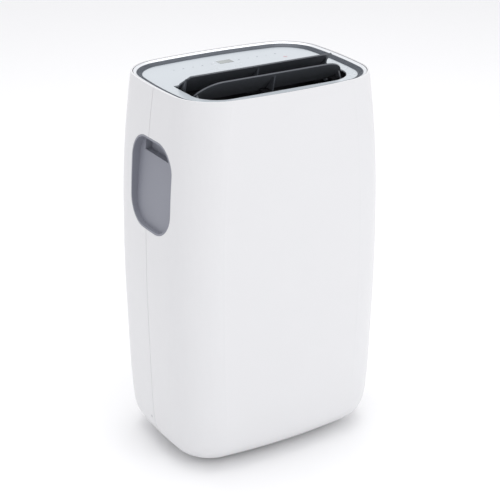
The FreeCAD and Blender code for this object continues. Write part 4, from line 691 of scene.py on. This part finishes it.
def spoked_tree():
    tree, given = geometry_tree(
        "spokes_and_rings", ("Spokes", "Int", 8), ("Rings", "Int", 3), ("Reach", "Float", 0.07),
        ("Bar", "Float", 0.0015), ("Thick", "Float", 0.002), ("Facing", "Rotation", None),
        ("Middle", "Vector", None))
    half = maths(tree, "MULTIPLY", given["Reach"], 0.5)
    spots = add(tree, "GeometryNodeMeshCircle", {"Vertices": given["Spokes"], "Radius": half})
    here = tree.nodes.new("GeometryNodeInputPosition").outputs["Position"]
    turn = add(tree, "FunctionNodeAlignRotationToVector", {"Vector": here}, axis="X",
               pivot_axis="Z")
    size = add(tree, "ShaderNodeCombineXYZ", {"X": given["Reach"], "Y": given["Bar"],
                                              "Z": given["Thick"]})
    bar = add(tree, "GeometryNodeMeshCube", {"Size": size.outputs["Vector"]})
    spokes = add(tree, "GeometryNodeInstanceOnPoints", {"Points": spots.outputs["Mesh"],
                 "Instance": bar.outputs["Mesh"], "Rotation": turn.outputs["Rotation"]})
    heart = add(tree, "GeometryNodeMeshLine", {"Count": given["Rings"], "Offset": (0, 0, 0)},
                mode="OFFSET")
    number = maths(tree, "ADD", tree.nodes.new("GeometryNodeInputIndex").outputs["Index"], 1.0)
    share = maths(tree, "DIVIDE", number, given["Rings"])
    inside = maths(tree, "SUBTRACT", given["Reach"], maths(tree, "MULTIPLY", given["Bar"], 0.5))
    circle = add(tree, "GeometryNodeCurvePrimitiveCircle", {"Resolution": 40, "Radius": inside})
    scaled = add(tree, "ShaderNodeCombineXYZ", {"X": share, "Y": share, "Z": 1.0})
    rings = add(tree, "GeometryNodeInstanceOnPoints", {"Points": heart.outputs["Mesh"],
                "Instance": circle.outputs["Curve"], "Scale": scaled.outputs["Vector"]})
    loose = add(tree, "GeometryNodeRealizeInstances", {"Geometry": rings.outputs["Instances"]})
    section = add(tree, "GeometryNodeCurvePrimitiveQuadrilateral", {"Width": given["Bar"],
                  "Height": given["Thick"]})
    hoops = add(tree, "GeometryNodeCurveToMesh", {"Curve": loose.outputs["Geometry"],
                "Profile Curve": section.outputs["Curve"]})
    both = tree.nodes.new("GeometryNodeJoinGeometry")
    tree.links.new(spokes.outputs["Instances"], both.inputs["Geometry"])
    tree.links.new(hoops.outputs["Mesh"], both.inputs["Geometry"])
    faced = add(tree, "GeometryNodeTransform", {"Geometry": both.outputs["Geometry"],
                "Rotation": given["Facing"], "Translation": given["Middle"]})
    close_tree(tree, given, faced.outputs["Geometry"])
    return tree


SPOKED = spoked_tree()
FACE_BACK = (math.radians(90), 0, 0)
FACE_SIDE = (0, math.radians(90), 0)
COLLAR_WALL = 4.2 * MM
GUARD_DEPTH = 6 * MM
TREAD = 4 * MM
collar_low, collar_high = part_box("exhaust_collar")
grow("exhaust_guard", SPOKED,
     {"Spokes": 12, "Rings": 4, "Reach": (collar_high.x - collar_low.x) / 2 - COLLAR_WALL,
      "Bar": 1.8 * MM, "Thick": 2.5 * MM, "Facing": FACE_BACK,
      "Middle": ((collar_low.x + collar_high.x) / 2, collar_low.y + GUARD_DEPTH,
                 (collar_low.z + collar_high.z) / 2)},
     FINISH["shell_white"])

for corner in ("front_left", "front_right", "rear_left", "rear_right"):
    low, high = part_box(f"caster_wheels_{corner}")
    for side, face in (("outer", high.x), ("inner", low.x)):
        grow(f"caster_hub_{corner}_{side}", SPOKED,
             {"Spokes": 7, "Rings": 2, "Reach": (high.z - low.z) / 2 - TREAD, "Bar": 1.2 * MM,
              "Thick": 0.9 * MM, "Facing": FACE_SIDE,
              "Middle": (face, (low.y + high.y) / 2, (low.z + high.z) / 2)},
             FINISH["caster_grey"], f"wheels_{corner}")

# %% [markdown]
# ## Printed touch marks
#
# The deck has touch keys with no moving parts: only small marks printed on the plastic on both
# sides of the display, with a red ring for the power key. Ink is a few hundredths of a
# millimetre thick, so the marks are real but very thin pieces that sit just on the surface.
# The seed's vertices are the places, and the tree sets one symbol on each.

# %% Print the marks
INK_HIGH = 0.06 * MM
STROKE = 0.65 * MM
MARK_ROW = 85 * MM
MARK_STEP = 19 * MM
MARK_FIRST = 28 * MM
POWER_AT = (110 * MM, 59 * MM)
deck_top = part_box("top_deck")[1].z


def marks_tree():
    tree, given = geometry_tree("printed_marks", ("Arms", "Int", 4), ("Arm", "Vector", None),
                                ("Ring", "Float", 0.002), ("Stroke", "Float", 0.0003),
                                ("Ink", "Float", 0.0001))
    spots = add(tree, "GeometryNodeMeshCircle", {"Vertices": given["Arms"], "Radius": 0.0001})
    here = tree.nodes.new("GeometryNodeInputPosition").outputs["Position"]
    turn = add(tree, "FunctionNodeAlignRotationToVector", {"Vector": here}, axis="X",
               pivot_axis="Z")
    arm = add(tree, "GeometryNodeMeshCube", {"Size": given["Arm"]})
    star = add(tree, "GeometryNodeInstanceOnPoints", {"Points": spots.outputs["Mesh"],
               "Instance": arm.outputs["Mesh"], "Rotation": turn.outputs["Rotation"]})
    circle = add(tree, "GeometryNodeCurvePrimitiveCircle", {"Resolution": 32,
                 "Radius": given["Ring"]})
    section = add(tree, "GeometryNodeCurvePrimitiveQuadrilateral", {"Width": given["Stroke"],
                  "Height": given["Ink"]})
    hoop = add(tree, "GeometryNodeCurveToMesh", {"Curve": circle.outputs["Curve"],
               "Profile Curve": section.outputs["Curve"]})
    both = tree.nodes.new("GeometryNodeJoinGeometry")
    tree.links.new(star.outputs["Instances"], both.inputs["Geometry"])
    tree.links.new(hoop.outputs["Mesh"], both.inputs["Geometry"])
    placed = add(tree, "GeometryNodeInstanceOnPoints", {"Points": given["Geometry"],
                 "Instance": both.outputs["Geometry"]})
    close_tree(tree, given, placed.outputs["Instances"])
    return tree


MARKS = marks_tree()


def marks(name, places, arms, arm, ring, finish):
    mesh = bpy.data.meshes.new(name + "_places")
    mesh.from_pydata([(x, y, deck_top + INK_HIGH / 2) for x, y in places], [], [])
    seed = bpy.data.objects.new(name + "_places", mesh)
    grow(name, MARKS, {"Arms": arms, "Arm": (arm, STROKE, INK_HIGH), "Ring": ring,
                       "Stroke": STROKE, "Ink": INK_HIGH}, finish, seed=seed)


keys = [MARK_FIRST + MARK_STEP * number for number in range(5)]
marks("mode_marks", [(-x, MARK_ROW) for x in keys[0:5:2]], 6, 2.0 * MM, 0.5 * MM, INK_GREY)
marks("timer_marks", [(-x, MARK_ROW) for x in keys[1:5:2]], 4, 0.9 * MM, 1.2 * MM, INK_GREY)
marks("speed_marks", [(x, MARK_ROW) for x in keys[0:5:2]], 3, 1.0 * MM, 1.1 * MM, INK_GREY)
marks("level_marks", [(x, MARK_ROW) for x in keys[1:5:2]], 4, 1.9 * MM, 0.4 * MM, INK_GREY)
marks("power_mark", [POWER_AT], 4, 1.4 * MM, 3.0 * MM, INK_RED)
